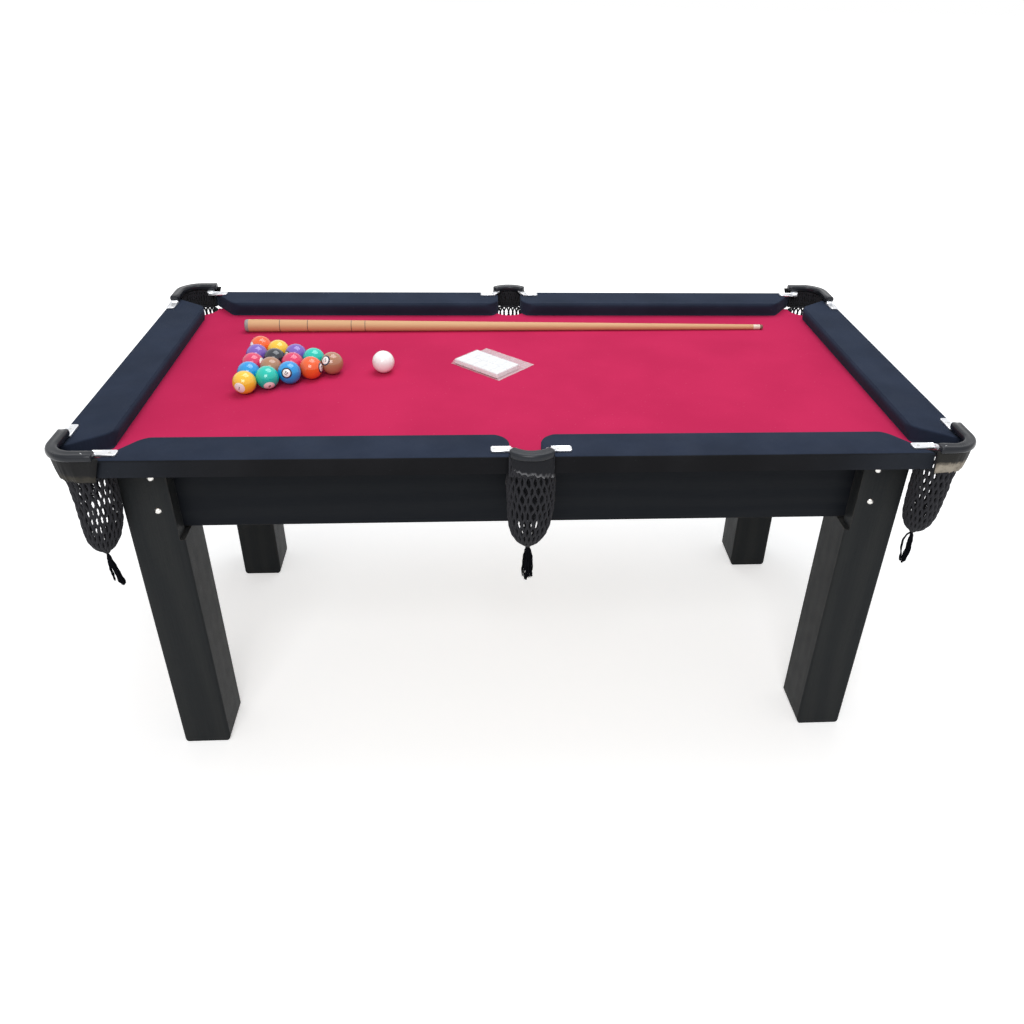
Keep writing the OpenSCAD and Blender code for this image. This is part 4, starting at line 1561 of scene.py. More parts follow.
@dataclass
class Rails(SubAssembly):
    """Six cushions in dark cloth, rolled over the nose and down both jaws."""

    # Height above the bed, how far the nose is drawn in there, and how far the other edges are
    profile: tuple[Point3, ...] = (
        (
            -0.0014, 0.0, 0.0
        ), (0.0, 0.0, 0.0), (0.006, 0.0, 0.0), (0.012, 0.0, 0.0), (0.018, 0.0, 0.0),
        (0.024, 0.0, 0.0), (0.0285, 0.0, 0.0), (0.0310, 0.0006, 0.0), (0.0328, 0.0017, 0.0001),
        (0.0341, 0.0034, 0.0008), (0.0348, 0.0052, 0.0019), (0.0350, 0.0070, 0.0030),
        (0.0350, 0.0095, 0.0055),
    )

    def build(self) -> None:
        """Makes the six covers."""
        for depth in Depth:
            for side in (Place.LEFT, Place.RIGHT):
                spot = f"{depth.name}_{side.name}".lower()
                self.cover(spot, self.long_outline, self.to_long(side.value, depth.value))
        for side in (Place.LEFT, Place.RIGHT):
            self.cover(f"{side.name}_end".lower(), self.end_outline, self.to_end(side.value))

    def jaw(self, u: float, inset: float) -> list[Point2]:
        """Outlines a corner jaw from the nose line to the rail's outer edge.

        Args:
            u: Where the jaw's sharp corner would be.
            inset: How far the outline is drawn in.

        Returns:
            The jaw's points.
        """
        s = self.sizes
        tangent = s.jaw_r * math.tan(s.jaw_angle / 2)
        centre = (u - tangent, s.rail_w - s.jaw_r)
        turn = arc(centre, s.jaw_r - inset, 90, 90 - math.degrees(s.jaw_angle), 12)
        last = turn[-1]
        end = (last[0] + (last[1] - inset) / math.tan(s.jaw_angle), inset)
        ramp = [
            (last[0] + (end[0] - last[0]) * t, last[1] + (end[1] - last[1]) * t)
            for t in (0.25, 0.5, 0.75, 1.0)
        ]
        return turn + ramp

    def long_outline(self, inset: float) -> list[Point2]:
        """Outlines a long rail, from its middle jaw to its corner jaw.

        Args:
            inset: How far the outline is drawn in.

        Returns:
            Points whose u runs along the rail and v from its outer edge to its nose.
        """
        s = self.sizes
        centre = (s.middle_mouth + s.middle_jaw_r, s.rail_w - s.middle_jaw_r)
        start = [(s.middle_mouth + inset, inset), (s.middle_mouth + inset, centre[1] / 2)]
        turn = arc(centre, s.middle_jaw_r - inset, 180, 90, 16)
        return start + turn + self.jaw(s.half_l - s.jaw_long_inset, inset)

    def end_outline(self, inset: float) -> list[Point2]:
        """Outlines an end rail between its two corner jaws."""
        half = self.jaw(self.sizes.half_w - self.sizes.jaw_end_inset, inset)
        return [(-u, v) for u, v in half[::-1]] + half

    def to_long(self, sx: int, sy: int) -> Callable[[float, float, float], Point3]:
        """Gives the move from a long rail's own frame to its place."""
        return lambda u, v, z: (sx * u, sy * (self.sizes.half_w - v), z)

    def to_end(self, sx: int) -> Callable[[float, float, float], Point3]:
        """Gives the move from an end rail's own frame to its place."""
        return lambda u, v, z: (sx * (self.sizes.half_l - v), sx * u, z)

    def cover(
        self, spot: str, outline: Callable[[float], list[Point2]],
        place: Callable[[float, float, float], Point3],
    ) -> None:
        """Makes one rail's cloth.

        Args:
            spot: Where the rail is, for its name.
            outline: The rail's outline in its own frame.
            place: The move from that frame.
        """
        s = self.sizes
        rings = []
        foot = s.rail_top - s.cloth_top - s.nose_foot
        for height, nose, edge in self.profile:
            reach = s.rail_w - s.nose_undercut * min(max(0.0, 1 - height / foot), 1.0)
            ring = []
            for (u, v), (nose_u, nose_v) in zip(outline(edge), outline(nose)):
                share = smooth_step(0.0906, 0.0945, v)
                hem = height if height > 0 else height * (1 - smooth_step(0.02, 0.05, v))
                u, v = u + (nose_u - u) * share, v + (nose_v - v) * share
                ring.append(place(u, min(v, reach), s.cloth_top + hem))
            rings.append(ring)
        draft = MeshDraft()
        draft.loft(rings, caps=(False, True))
        cloth = draft.build(f"rail_cloth_{spot}", [RAIL_WEAVE.material(), RAIL_SHADED_SIDE.material()])
        make_outward(cloth)
        out = Vector(place(0.0, 0.0, 0.0)) - Vector(place(0.0, 1.0, 0.0))
        # Faces that look out of the table take the darker copy of the cloth as painted shade.
        for face in cloth.data.polygons:
            face.material_index = int(face.normal.dot(out) > 0.8)
        self.keep(cloth, "table", "rail_cloth", ["rail_cloths"])
        length = max(abs(u) for u, _ in outline(0.0)) * (2 if "end" in spot else 1)


def make_outward(piece: bpy.types.Object) -> None:
    """Turns a mesh's faces so that they all look out of it.

    Args:
        piece: The mesh object.
    """
    mesh = bmesh.new()
    mesh.from_mesh(piece.data)
    bmesh.ops.recalc_face_normals(mesh, faces=mesh.faces)
    mesh.to_mesh(piece.data)
    mesh.free()


@dataclass(frozen=True)
class Spot:
    """One of the six pockets, with what is peculiar to it."""

    place: Place
    depth: Depth
    scallop: tuple[float, float] = (0.5, 1.0)
    scuffed: bool = False
    torn: bool = False
    tassel: TasselShape = TasselShape.THICK
    sway: Point2 = (0.0, 0.0)
    girth: float = 1.0
    shift: float = 0.0
    lean: Point2 = (0.0, 0.0)
    lift: float = 0.0
    cord_share: float = 1.0
    lip_reach: float = 0.007
    seed: int = 1

    @property
    def name(self) -> str:
        """The end of the names of its pieces."""
        return f"{self.depth.name}_{self.place.name}".lower()

    @property
    def is_middle(self) -> bool:
        """Whether it lies between two long rails."""
        return self.place is Place.MIDDLE

    @property
    def signs(self) -> tuple[int, int]:
        """The signs of X and Y that move the right-hand back quarter here."""
        return (self.place.value or 1), self.depth.value

    @property
    def flips(self) -> bool:
        """Whether that move mirrors the mesh."""
        return self.signs[0] * self.signs[1] < 0

    def centre(self, sizes: TableSizes) -> Point2:
        """Gives the pocket's centre in the right-hand back quarter."""
        x, y = sizes.middle if self.is_middle else sizes.corner
        return x + self.shift, y


@dataclass
class Collar(SubAssembly):
    """A pocket's rubber lip, with a leather skirt under it."""

    spot: Spot = Spot(Place.LEFT, Depth.FRONT)
    # Half the lip's section, from its inner foot over the top to its outer foot
    section: tuple[Point2, ...] = (
        (-0.0088, -0.0071), (-0.0106, -0.0056), (-0.0114, -0.0025), (-0.0115, 0.0015),
        (-0.0108, 0.0050), (-0.0090, 0.0068), (-0.0060, 0.0072), (-0.0030, 0.0068),
        (0.0000, 0.0063), (0.0030, 0.0061), (0.0058, 0.0064), (0.0080, 0.0062),
        (0.0098, 0.0046), (0.0109, 0.0020), (0.0115, -0.0012), (0.0110, -0.0044),
        (0.0092, -0.0065), (0.0062, -0.0074), (0.0020, -0.0075), (-0.0040, -0.0075),
    )
    lip_spans: int = 28
    skirt_spans: int = 90
    skirt_rows: int = 9
    skirt_wall: float = 0.0024
    rail_gap: float = 0.0008

    def build(self) -> None:
        """Makes the lip and the skirt."""
        draft = MeshDraft()
        self.add_lip(draft)
        skirt_slot = 1
        self.add_skirt(draft, skirt_slot)
        skirt = SKIRT_SCUFFED if self.spot.scuffed else SKIRT_LEATHER
        skirt = SKIRT_TORN_HIGHLIT if self.spot.torn else skirt
        piece = draft.build(
            f"collar_{self.spot.name}_rubber", [LIP_RUBBER.material(), skirt.material()],
            flip=self.spot.flips,
        )
        make_outward(piece)
        self.keep(piece, "table", "collar_rubber", [f"collar_{self.spot.name}"])

    def path(self, r: float, arms: Point2, steps: int) -> list[tuple[float, float, float, float]]:
        """Follows the pocket's outer side at one radius.

        Args:
            r: The radius.
            arms: How far it runs straight on at the long side and at the end side.
            steps: The number of spans in its turn.

        Returns:
            x, y and the outward direction's x and y at each point.
        """
        cx, cy = self.spot.centre(self.sizes)
        if self.spot.is_middle:
            half = math.acos(min(0.99, self.sizes.middle_web_x / self.sizes.middle_lip_r))
            turn = [math.pi - half + (2 * half - math.pi) * i / steps for i in range(steps + 1)]
            return [
                (cx + r * math.cos(a), cy + r * math.sin(a), math.cos(a), math.sin(a)) for a in turn
            ]
        turn = [math.radians(90 - 90 * i / steps) for i in range(steps + 1)]
        points = [(cx - arms[0] * (1 - t), cy + r, 0.0, 1.0) for t in (0.0, 0.33, 0.67)]
        points += [
            (cx + r * math.cos(a), cy + r * math.sin(a), math.cos(a), math.sin(a)) for a in turn
        ]
        points += [(cx + r, cy - arms[1] * t, 1.0, 0.0) for t in (0.33, 0.67, 1.0)]
        return points

    def apron_path(
        self, r: float, arms: Point2, steps: int
    ) -> list[tuple[float, float, float, float]]:
        """Follows a middle pocket's outer side from rail face to rail face, as the skirt does.

        Args:
            r: How far it stands from the pocket's centre at most.
            arms: Not used at a middle pocket.
            steps: The number of spans.

        Returns:
            x, y and the outward direction's x and y at each point.
        """
        if not self.spot.is_middle:
            return self.path(r, arms, steps)
        cx, cy = self.spot.centre(self.sizes)
        face = self.sizes.half_w + self.rail_gap
        deep, wide = cy + r - face, self.sizes.middle_web_x + 0.0025
        found = []
        for i in range(steps + 1):
            a = math.pi * (1 - i / steps)
            c, t = math.cos(a), max(math.sin(a), 0.0)
            x, y = wide * math.copysign(abs(c) ** 0.75, c), deep * t**0.75
            out = Vector((c / wide, t / deep)).normalized()
            found.append((cx + x, face + y, out.x, out.y))
        return found

    def add_lip(self, draft: MeshDraft) -> None:
        """Adds the lip.

        Args:
            draft: The mesh that it joins.
        """
        s = self.sizes
        middle = self.spot.is_middle
        r = s.middle_lip_r if middle else s.corner_lip_r
        rise = s.middle_lip_rise if middle else s.corner_lip_rise
        arms = (s.corner_web_in[0] + self.spot.lip_reach, s.corner_web_in[1])
        cx, _ = self.spot.centre(s)
        z = s.rail_top + rise - s.lip_h / 2
        points = self.path(r, arms, self.lip_spans)
        rng = np.random.default_rng(self.spot.seed)
        swell = np.interp(
            np.linspace(0, 1, len(points)), np.linspace(0, 1, 7), rng.normal(0, 0.02, 7)
        )
        rings = []
        last = len(points) - 1
        for i, (x, y, nx, ny) in enumerate(points):
            for shrink, back in self.end_rings(i, last):
                size = shrink * (1 + swell[i])
                tx, ty = (ny, -nx) if i == 0 else (-ny, nx)
                ring = [
                    (x + nx * o * size + tx * back, y + ny * o * size + ty * back, z + h * size)
                    for o, h in self.section
                ]
                if middle:
                    end = s.middle_web_x + 0.0022
                    ring = [(min(max(a, cx - end), cx + end), b, c) for a, b, c in ring]
                rings.append(ring)
        draft.loft([mirrored(ring, *self.spot.signs) for ring in rings], caps=(True, True))

    def end_rings(self, i: int, last: int) -> list[Point2]:
        """Rounds the lip's two ends with extra rings.

        Args:
            i: The path point's number.
            last: The last one's number.

        Returns:
            For each ring, its share of full size and how far it is moved back along the lip.
        """
        ends = [(0.74, 0.0), (0.9, 0.0006), (1.0, 0.0024)]
        if i == 0:
            return ends
        if i == last:
            return ends[::-1]
        return [(1.0, 0.0)]

    def foot(self, share: float) -> float:
        """Gives the height of the skirt's foot.

        Args:
            share: How far along the skirt it is, from left to right as the front shows it.

        Returns:
            The height above the usual foot.
        """
        start, end = self.spot.scallop
        scallop = 0.0
        if start <= share <= end:
            scallop = 0.0032 * abs(math.sin(math.pi * (share - start) / 0.085))
        if self.spot.torn:
            rise = 0.021 * (1 - smooth_step(0.0, 0.66, share))
            ragged = 0.0008 * math.sin(share * 75) + 0.0005 * math.sin(share * 171)
            return rise + ragged + scallop
        return scallop + 0.0006 * math.sin(share * 40)

    def add_skirt(self, draft: MeshDraft, slot: int) -> None:
        """Adds the skirt.

        Args:
            draft: The mesh that it joins.
            slot: Its material slot.
        """
        s = self.sizes
        middle = self.spot.is_middle
        rise = s.middle_lip_rise if middle else s.corner_lip_rise
        top = s.rail_top + rise - s.lip_h + 0.004
        steps, down, wall = self.skirt_spans, self.skirt_rows, self.skirt_wall
        spans = len(self.apron_path(0.05, (0.02, 0.004), steps))
        grid = []
        for j in range(down + 1):
            share = j / down
            r = s.skirt_top_r + (
                s.skirt_foot_r - s.skirt_top_r
            ) * share + 0.0012 * math.sin(3.1 * share)
            arms = (s.corner_web_in[0] + self.spot.lip_reach * (1.6 - 1.1 * share), s.skirt_end_arm)
            grid.append(self.apron_path(r, arms, steps))
        runs_right = self.spot.place is not Place.LEFT
        rings = []
        for i in range(spans):
            along = i / (spans - 1)
            along = along if runs_right else 1 - along
            if self.spot.torn and along < 0.16:
                continue
            foot = s.skirt_foot + self.foot(along)
            fold = 0.0009 * math.sin(along * 23 + self.spot.seed) + 0.0005 * math.sin(along * 61)
            outer, inner = [], []
            for j in range(down + 1):
                share = j / down
                x, y, nx, ny = grid[j][i]
                z = top + (foot - top) * share
                out = fold * share
                outer.append((x + nx * out, y + ny * out, z))
                inner.append((x + nx * (out - wall), y + ny * (out - wall), z))
            rings.append(outer + inner[::-1])
        draft.loft(
            [mirrored(ring, *self.spot.signs) for ring in rings], slot=slot, caps=(True, True)
        )


@dataclass
class PocketIron(SubAssembly):
    """The two bright cast ears of a pocket's iron, with the arms that run into its lip."""

    spot: Spot = Spot(Place.LEFT, Depth.FRONT)
    ear_corner_r: float = 0.0045
    middle_arm_half_w: float = 0.0062
    arm_half_h: float = 0.0028
    front_arm_rise: float = 0.0038
    back_arm_rise: float = 0.0004

    def build(self) -> None:
        """Makes both ears and both arms as one casting."""
        s = self.sizes
        draft = MeshDraft()
        if self.spot.is_middle:
            y = s.half_w - s.middle_ear_in
            lip_y = s.middle[1] + math.sqrt(s.middle_lip_r**2 - s.middle_web_x**2)
            lip_z = s.rail_top + s.middle_lip_rise - s.lip_h / 2
            for side in (-1, 1):
                cx, web = self.spot.shift, s.middle_web_x
                self.add_ear(
                    draft, (cx + side * (web - 0.002), y), (side, 0.0), s.middle_ear_l + 0.002
                )
                if self.spot.depth is Depth.BACK:
                    lip_z = s.rail_top + 0.0035
                bend = [
                    (cx + side * (web + 0.002), y, s.rail_top + 0.003),
                    (cx + side * (web - 0.004), y + 0.006, s.rail_top + 0.004),
                    (cx + side * (web - 0.006), lip_y - 0.006, lip_z - 0.001),
                    (cx + side * (web - 0.010), lip_y + 0.002, lip_z),
                ]
                self.add_arm(draft, bend, self.middle_arm_half_w)
        else:
            (cx, cy), (web_x, web_y) = s.corner, s.corner_web_in
            lip_z = s.rail_top + s.corner_lip_rise - s.lip_h / 2
            if self.spot.depth is Depth.BACK:
                lip_z = s.rail_top + 0.0045
            long_y, end_x = s.half_w - s.ear_in, s.half_l - s.end_ear_in
            self.add_ear(draft, (cx - web_x, long_y), (-1.0, 0.0), s.ear_l)
            self.add_ear(draft, (end_x, cy - web_y), (0.0, -1.0), s.ear_l)
            lip_y, lip_x = cy + s.corner_lip_r, cx + s.corner_lip_r
            self.add_arm(
                draft,
                [
                    (cx - web_x - 0.006, long_y, s.rail_top + 0.003),
                    (cx - web_x - 0.001, long_y + 0.006, s.rail_top + 0.0045),
                    (cx - web_x - 0.001, lip_y - 0.009, lip_z - 0.002),
                    (cx - web_x + 0.005, lip_y, lip_z),
                ],
            )
            self.add_arm(
                draft,
                [
                    (end_x, cy - web_y - 0.006, s.rail_top + 0.003),
                    (end_x, cy - web_y - 0.002, s.rail_top + 0.0055),
                    (lip_x, cy - web_y + 0.001, lip_z - 0.002), (lip_x, cy - web_y + 0.005, lip_z),
                ],
            )
        piece = draft.build(
            f"pocket_iron_{self.spot.name}", [CAST.material()], flip=self.spot.flips
        )
        make_outward(piece)
        self.keep(piece, "table", "cast_aluminium", ["pocket_irons"])

    def add_ear(self, draft: MeshDraft, start: Point2, way: Point2, length: float) -> None:
        """Adds an ear with a raised rim round a bare panel.

        Args:
            draft: The mesh that it joins.
            start: The middle of the ear's end at the lip.
            way: The direction of its free end.
            length: Its length.
        """
        s = self.sizes
        half, r = s.ear_w / 2, self.ear_corner_r
        across = (-way[1], way[0])
        levels = (
            (0.0, 0.0002), (0.0, s.ear_t - 0.0012), (0.0004, s.ear_t - 0.0004),
            (0.0012, s.ear_t), (0.0024, s.ear_t), (0.0031, s.ear_t - 0.0011),
            (0.0044, s.ear_t - 0.0012),
        )
        rings = []
        for inset, height in levels:
            corner = max(r - inset, 0.0006)
            x0, x1, y1 = inset * 0.6, length - inset, half - inset
            outline = [(x0, -y1), (length * 0.5, -y1)]
            outline += arc((x1 - corner, -y1 + corner), corner, 270, 360, 6)
            outline += arc((x1 - corner, y1 - corner), corner, 0, 90, 6)
            outline += [(length * 0.5, y1), (x0, y1)]
            ring = [
                (
                    start[0] + way[0] * a + across[0] * b, start[1] + way[1] * a + across[1] * b,
                    s.rail_top + height,
                )
                for a, b in outline
            ]
            rings.append(mirrored(ring, *self.spot.signs))
        draft.loft(rings, caps=(True, True))

    def add_arm(self, draft: MeshDraft, bend: Sequence[Point3], half_w: float = 0.0080) -> None:
        """Adds the cast arm that rises from an ear into the lip.

        Args:
            draft: The mesh that it joins.
            bend: The points that its middle passes.
            half_w: Half its width.
        """
        path = spline(bend, 5)
        ahead = np.gradient(path, axis=0)
        rings = []
        count = len(path) - 1
        for i, (point, way) in enumerate(zip(path, ahead)):
            share = i / count
            flat = np.array((way[0], way[1], 0.0)) / max(np.hypot(way[0], way[1]), 1e-9)
            side = np.array((-flat[1], flat[0], 0.0))
            rise = self.front_arm_rise if self.spot.depth is Depth.FRONT else self.back_arm_rise
            half_h = self.arm_half_h + rise * smooth_step(0.1, 0.9, share)
            outline = superellipse(half_w, half_h, 3.5, 20)
            ring = [tuple(point + side * a + np.array((0, 0, b))) for a, b in outline]
            rings.append(mirrored(ring, *self.spot.signs))
        draft.loft(rings, caps=(True, True))


@dataclass(frozen=True)
class Tuft:
    """One bundle of the strands that hang under a net's knot."""

    # Its drift in x and y at shares of the tassel's length
    path: tuple[Point3, ...]
    spread: float
    count: int
    ragged: float = 0.14


TUFTS: dict[TasselShape, tuple[Tuft, ...]] = {
    TasselShape.SPREAD: (
        Tuft(
            ((0, 0, 0), (0.003, 0, 0.25), (0.009, 0, 0.6), (0.014, 0, 0.9), (0.016, 0, 1.0)),
            0.0052, 13,
        ),
        Tuft(((0, 0, 0), (-0.0025, 0, 0.3), (-0.002, 0, 0.62), (0.001, 0, 0.94)), 0.0018, 4),
    ),
    TasselShape.THICK: (
        Tuft(((0, 0, 0), (0.0005, 0, 0.3), (0, 0, 0.7), (-0.002, 0, 1.06)), 0.0122, 30, 0.22),
        Tuft(((0, 0, 0), (0.004, 0, 0.45), (0.008, 0, 0.8), (0.0115, 0, 0.99)), 0.0016, 3),
    ),
    TasselShape.LOOP: (
        Tuft(((0, 0, 0), (0.0015, 0, 0.3), (0.001, 0, 0.7), (-0.003, 0, 1.0)), 0.0055, 14),
        Tuft(
            ((0, 0, 0), (-0.007, 0, 0.06), (-0.0135, 0, 0.22), (-0.0135, 0, 0.5),
             (-0.0095, 0, 0.78),
             (-0.0085, 0, 0.93)), 0.0011, 3, 0.0,
        ),
    ),
}


@dataclass
class Net(SubAssembly):
    """A pocket's net of knotted cord, gathered into a knot with a tassel under it."""

    spot: Spot = Spot(Place.LEFT, Depth.FRONT)
    columns: int = 22
    rows: int = 10
    cord_r: float = 0.0023
    # How far the net has drawn in, at shares of its depth
    shares: tuple[float, ...] = (0.0, 0.05, 0.34, 0.69, 0.85, 0.93, 0.975, 1.0)
    draws: tuple[float, ...] = (0.0, 0.0, 0.0015, 0.005, 0.0125, 0.0225, 0.0325, 0.0375)
    knot_r: float = 0.0036
    knot_depth: float = 0.0031
    hem_r: float = 0.0027
    # How far two crossing cords stand from the surface midway between them
    cross_out: float = 0.0009
    middle_mouth_r: float = 0.0410
    corner_mouth_r: float = 0.0450

    def build(self) -> None:
        """Makes the net, its knot and its tassel."""
        draft = MeshDraft()
        rng = np.random.default_rng(self.spot.seed)
        knots = self.knots(rng)
        self.add_mesh(draft, knots, rng)
        self.add_upper_net(draft, rng)
        self.add_gather(draft)
        name = self.spot.name
        net = draft.build(f"net_{name}_cord", [NET_CORD.material()])
        self.keep(net, "table", "net_cord", [f"net_{name}"])
        self.hang_tassel(rng)

    @property
    def centre(self) -> np.ndarray:
        """The net's axis, at the height of its hem."""
        x, y = self.spot.centre(self.sizes)
        sx, sy = self.spot.signs
        return np.array((sx * x, sy * y, self.sizes.net_top))

    @property
    def knot(self) -> np.ndarray:
        """The knot that gathers the net's foot."""
        x, y, _ = self.centre
        lean = self.spot.lean
        return np.array((x + lean[0], y + lean[1], self.sizes.knot + self.spot.lift))

    def knots(self, rng: np.random.Generator) -> np.ndarray:
        """Places the net's knots.

        Args:
            rng: The net's own random numbers.

        Returns:
            An array of rows by columns by x, y, z.
        """
        depth = self.sizes.net_depth - self.spot.lift
        lean = np.array(self.spot.lean)
        fine = np.linspace(0.012, 0.985, 200)
        radius = self.sizes.net_r - self.cord_r - 0.0004 - np.interp(fine, self.shares, self.draws)
        length = np.concatenate(
            [[0.0], np.cumsum(np.hypot(np.diff(fine) * depth, np.diff(radius)))]
        )
        found = np.zeros((self.rows + 1, self.columns, 3))
        sway = np.array(self.spot.sway)
        phase = rng.uniform(0, 6.28, 3)
        for k in range(self.rows + 1):
            at = length[-1] * k / self.rows
            share = float(np.interp(at, length, fine))
            loose = math.sin(math.pi * min(share * 1.15, 1.0))
            for m in range(self.columns):
                angle = (
                    m + 0.5 * (k % 2) + rng.normal(0, 0.1) * loose
                ) * 2 * math.pi / self.columns
                r = float(np.interp(at, length, radius))
                r += 0.0016 * loose * math.sin(2 * angle + phase[0]) + rng.normal(0, 0.0004) * loose
                z = -share * depth + rng.normal(0, 0.0013) * loose
                wide = 1 + (self.spot.girth - 1) * smooth_step(0.0, 0.16, share)
                x, y = r * math.cos(angle) * wide, r * math.sin(angle)
                aside = sway * loose + lean * share**2
                found[k, m] = self.centre + (x + aside[0], y + aside[1], z)
        return found

    def add_mesh(self, draft: MeshDraft, knots: np.ndarray, rng: np.random.Generator) -> None:
        """Adds the zigzag cords, their knots and the hem.

        Args:
            draft: The mesh that they join.
            knots: The knots' places.
            rng: The net's own random numbers.
        """
        axis = self.centre[:2]
        for family in (0, 1):
            for i in range(self.columns):
                points = []
                for k in range(self.rows + 1):
                    m = (i - family * (k % 2)) % self.columns
                    point = knots[k, m].copy()
                    out = point[:2] - axis
                    side = self.cross_out if (k + family) % 2 else -self.cross_out
                    point[:2] += out / max(np.linalg.norm(out), 1e-6) * side
                    points.append(point)
                thick = self.cord_r * self.spot.cord_share * rng.uniform(0.9, 1.08)
                draft.tube(spline(points, 4), thick, sides=6)
        for k in range(1, self.rows - 1):
            for m in range(self.columns):
                self.add_knot(draft, knots[k, m], rng)
        hem = [knots[0, m] for m in range(self.columns)]
        ring = [
            (p[0], p[1], self.centre[2] - 0.0035 + 0.0006 * math.sin(i * 2.1))
            for i, p in enumerate(hem + hem[:2])
        ]
        draft.tube(spline(ring, 3), self.hem_r, sides=7)

    def add_knot(self, draft: MeshDraft, place: np.ndarray, rng: np.random.Generator) -> None:
        """Adds one knot, a lump of crossed turns.

        Args:
            draft: The mesh that it joins.
            place: Its middle.
            rng: The net's own random numbers.
        """
        out = np.append(place[:2] - self.centre[:2], 0.0)
        out /= max(np.linalg.norm(out), 1e-6)
        side = np.cross((0.0, 0.0, 1.0), out)
        tilt = rng.normal(0, 0.35)
        up = np.array((0.0, 0.0, 1.0)) * math.cos(tilt) + side * math.sin(tilt)
        side = np.cross(up, out)
        rings = []
        for share in (-1.0, -0.6, 0.0, 0.6, 1.0):
            half = math.sqrt(max(1 - share * share, 0.04))
            rings.append(
                [
                    tuple(
                        place + up * share * self.knot_r + side * half * self.knot_r * math.cos(a)
                        + out * half * self.knot_depth * math.sin(a)
                    )
                    for a in np.linspace(0, 2 * math.pi, 7, endpoint=False)
                ]
            )
        draft.loft(rings, caps=(True, True))

    def front_path(self, count: int) -> list[Point2]:
        """Follows the outer side of the mouth, where the net rises in front of the rails.

        Args:
            count: The number of points, an even step apart.

        Returns:
            Their x and y in the right-hand back quarter.
        """
        s = self.sizes
        cx, cy = self.spot.centre(s)
        if self.spot.is_middle:
            wide = self.middle_mouth_r
            bends = [
                (cx + wide * math.cos(a), s.half_w + 0.0032 + 0.0028 * math.sin(a))
                for a in np.linspace(math.pi, 0, 40)
            ]
        else:
            r = self.corner_mouth_r
            bends = [(cx - 0.028, cy + r), (cx - 0.016, cy + r)]
            bends += arc((cx, cy), r, 90, 0, 20)
            bends += [(cx + r, cy - 0.004)]
        path = np.array(bends)
        along = np.concatenate([[0.0], np.cumsum(np.linalg.norm(np.diff(path, axis=0), axis=1))])
        places = np.linspace(0, along[-1], count)
        return [
            (float(np.interp(p, along, path[:, 0])), float(np.interp(p, along, path[:, 1])))
            for p in places
        ]

    def add_upper_net(self, draft: MeshDraft, rng: np.random.Generator) -> None:
        """Adds the meshes that rise from the hem to the lip, outside the bed.

        Args:
            draft: The mesh that they join.
            rng: The net's own random numbers.
        """
        s = self.sizes
        rise = s.middle_lip_rise if self.spot.is_middle else s.corner_lip_rise
        top = s.rail_top + rise - s.lip_h + 0.001
        levels = [s.net_top - 0.004, (s.net_top + top) / 2 - 0.004, top]
        count = 15 if self.spot.is_middle else 17
        path = self.front_path(count)
        grid = []
        for z in levels:
            row = [
                (x + rng.normal(0, 0.0007), y + rng.normal(0, 0.0004), z + rng.normal(0, 0.0012))
                for x, y in path
            ]
            grid.append(mirrored(row, *self.spot.signs))
        for start in range(2):
            for family in (0, 1):
                for i in range(start, count, 2):
                    points = []
                    for k in range(3):
                        j = i + (k % 2) * (1 if family else -1)
                        if 0 <= j < count:
                            points.append(grid[k][j])
                    if len(points) > 1:
                        draft.tube(spline(points, 3), self.cord_r * 0.95, sides=6)
        for j in range(1, count, 2):
            self.add_knot(draft, np.array(grid[1][j]), rng)

    def add_gather(self, draft: MeshDraft) -> None:
        """Adds the turns of cord that bind the net's foot.

        Args:
            draft: The mesh that they join.
        """
        x, y, knot = self.knot
        turns, steps = 3.4, 60
        path = []
        for i in range(steps + 1):
            share = i / steps
            angle = 2 * math.pi * turns * share
            r = 0.0062 - 0.0016 * share
            path.append(
                (x + r * math.cos(angle), y + r * math.sin(angle), knot + 0.010 - 0.013 * share)
            )
        draft.tube(np.array(path), 0.0021, sides=6)
        core = [(x, y, knot + h) for h in (0.016, 0.008, 0.0, -0.004)]
        draft.tube(np.array(core), [0.0085, 0.0058, 0.0042, 0.0036], sides=10)

    def hang_tassel(self, rng: np.random.Generator) -> None:
        """Args:
            rng: The net's own random numbers.
        """
        top = self.knot - (0.0, 0.0, 0.003)
        length = self.sizes.tassel_l - 0.004
        tufts = TUFTS[self.spot.tassel]
        curves = [
            spline([top + (dx, dy, -length * s) for dx, dy, s in tuft.path], 8) for tuft in tufts
        ]
        path = curves[0]
        steps = np.linalg.norm(np.diff(path, axis=0), axis=1).sum()
        lead = MeshDraft()
        lead.tube(path, self.cord_r * 0.9, sides=8)
        cord = lead.build(f"tassel_{self.spot.name}_lead", [TASSEL_CORD.material()])
        self.keep(cord, "table", "net_cord", [f"net_{self.spot.name}"])
        draft = MeshDraft()
        for tuft, curve in zip(tufts, curves):
            self.add_tuft(draft, tuft, curve, rng)
        fray = draft.build(f"tassel_{self.spot.name}_frays", [TASSEL_CORD.material()])
        self.keep(fray, "table", "net_cord", [f"net_{self.spot.name}"])
        [tuple(p) for p in path]

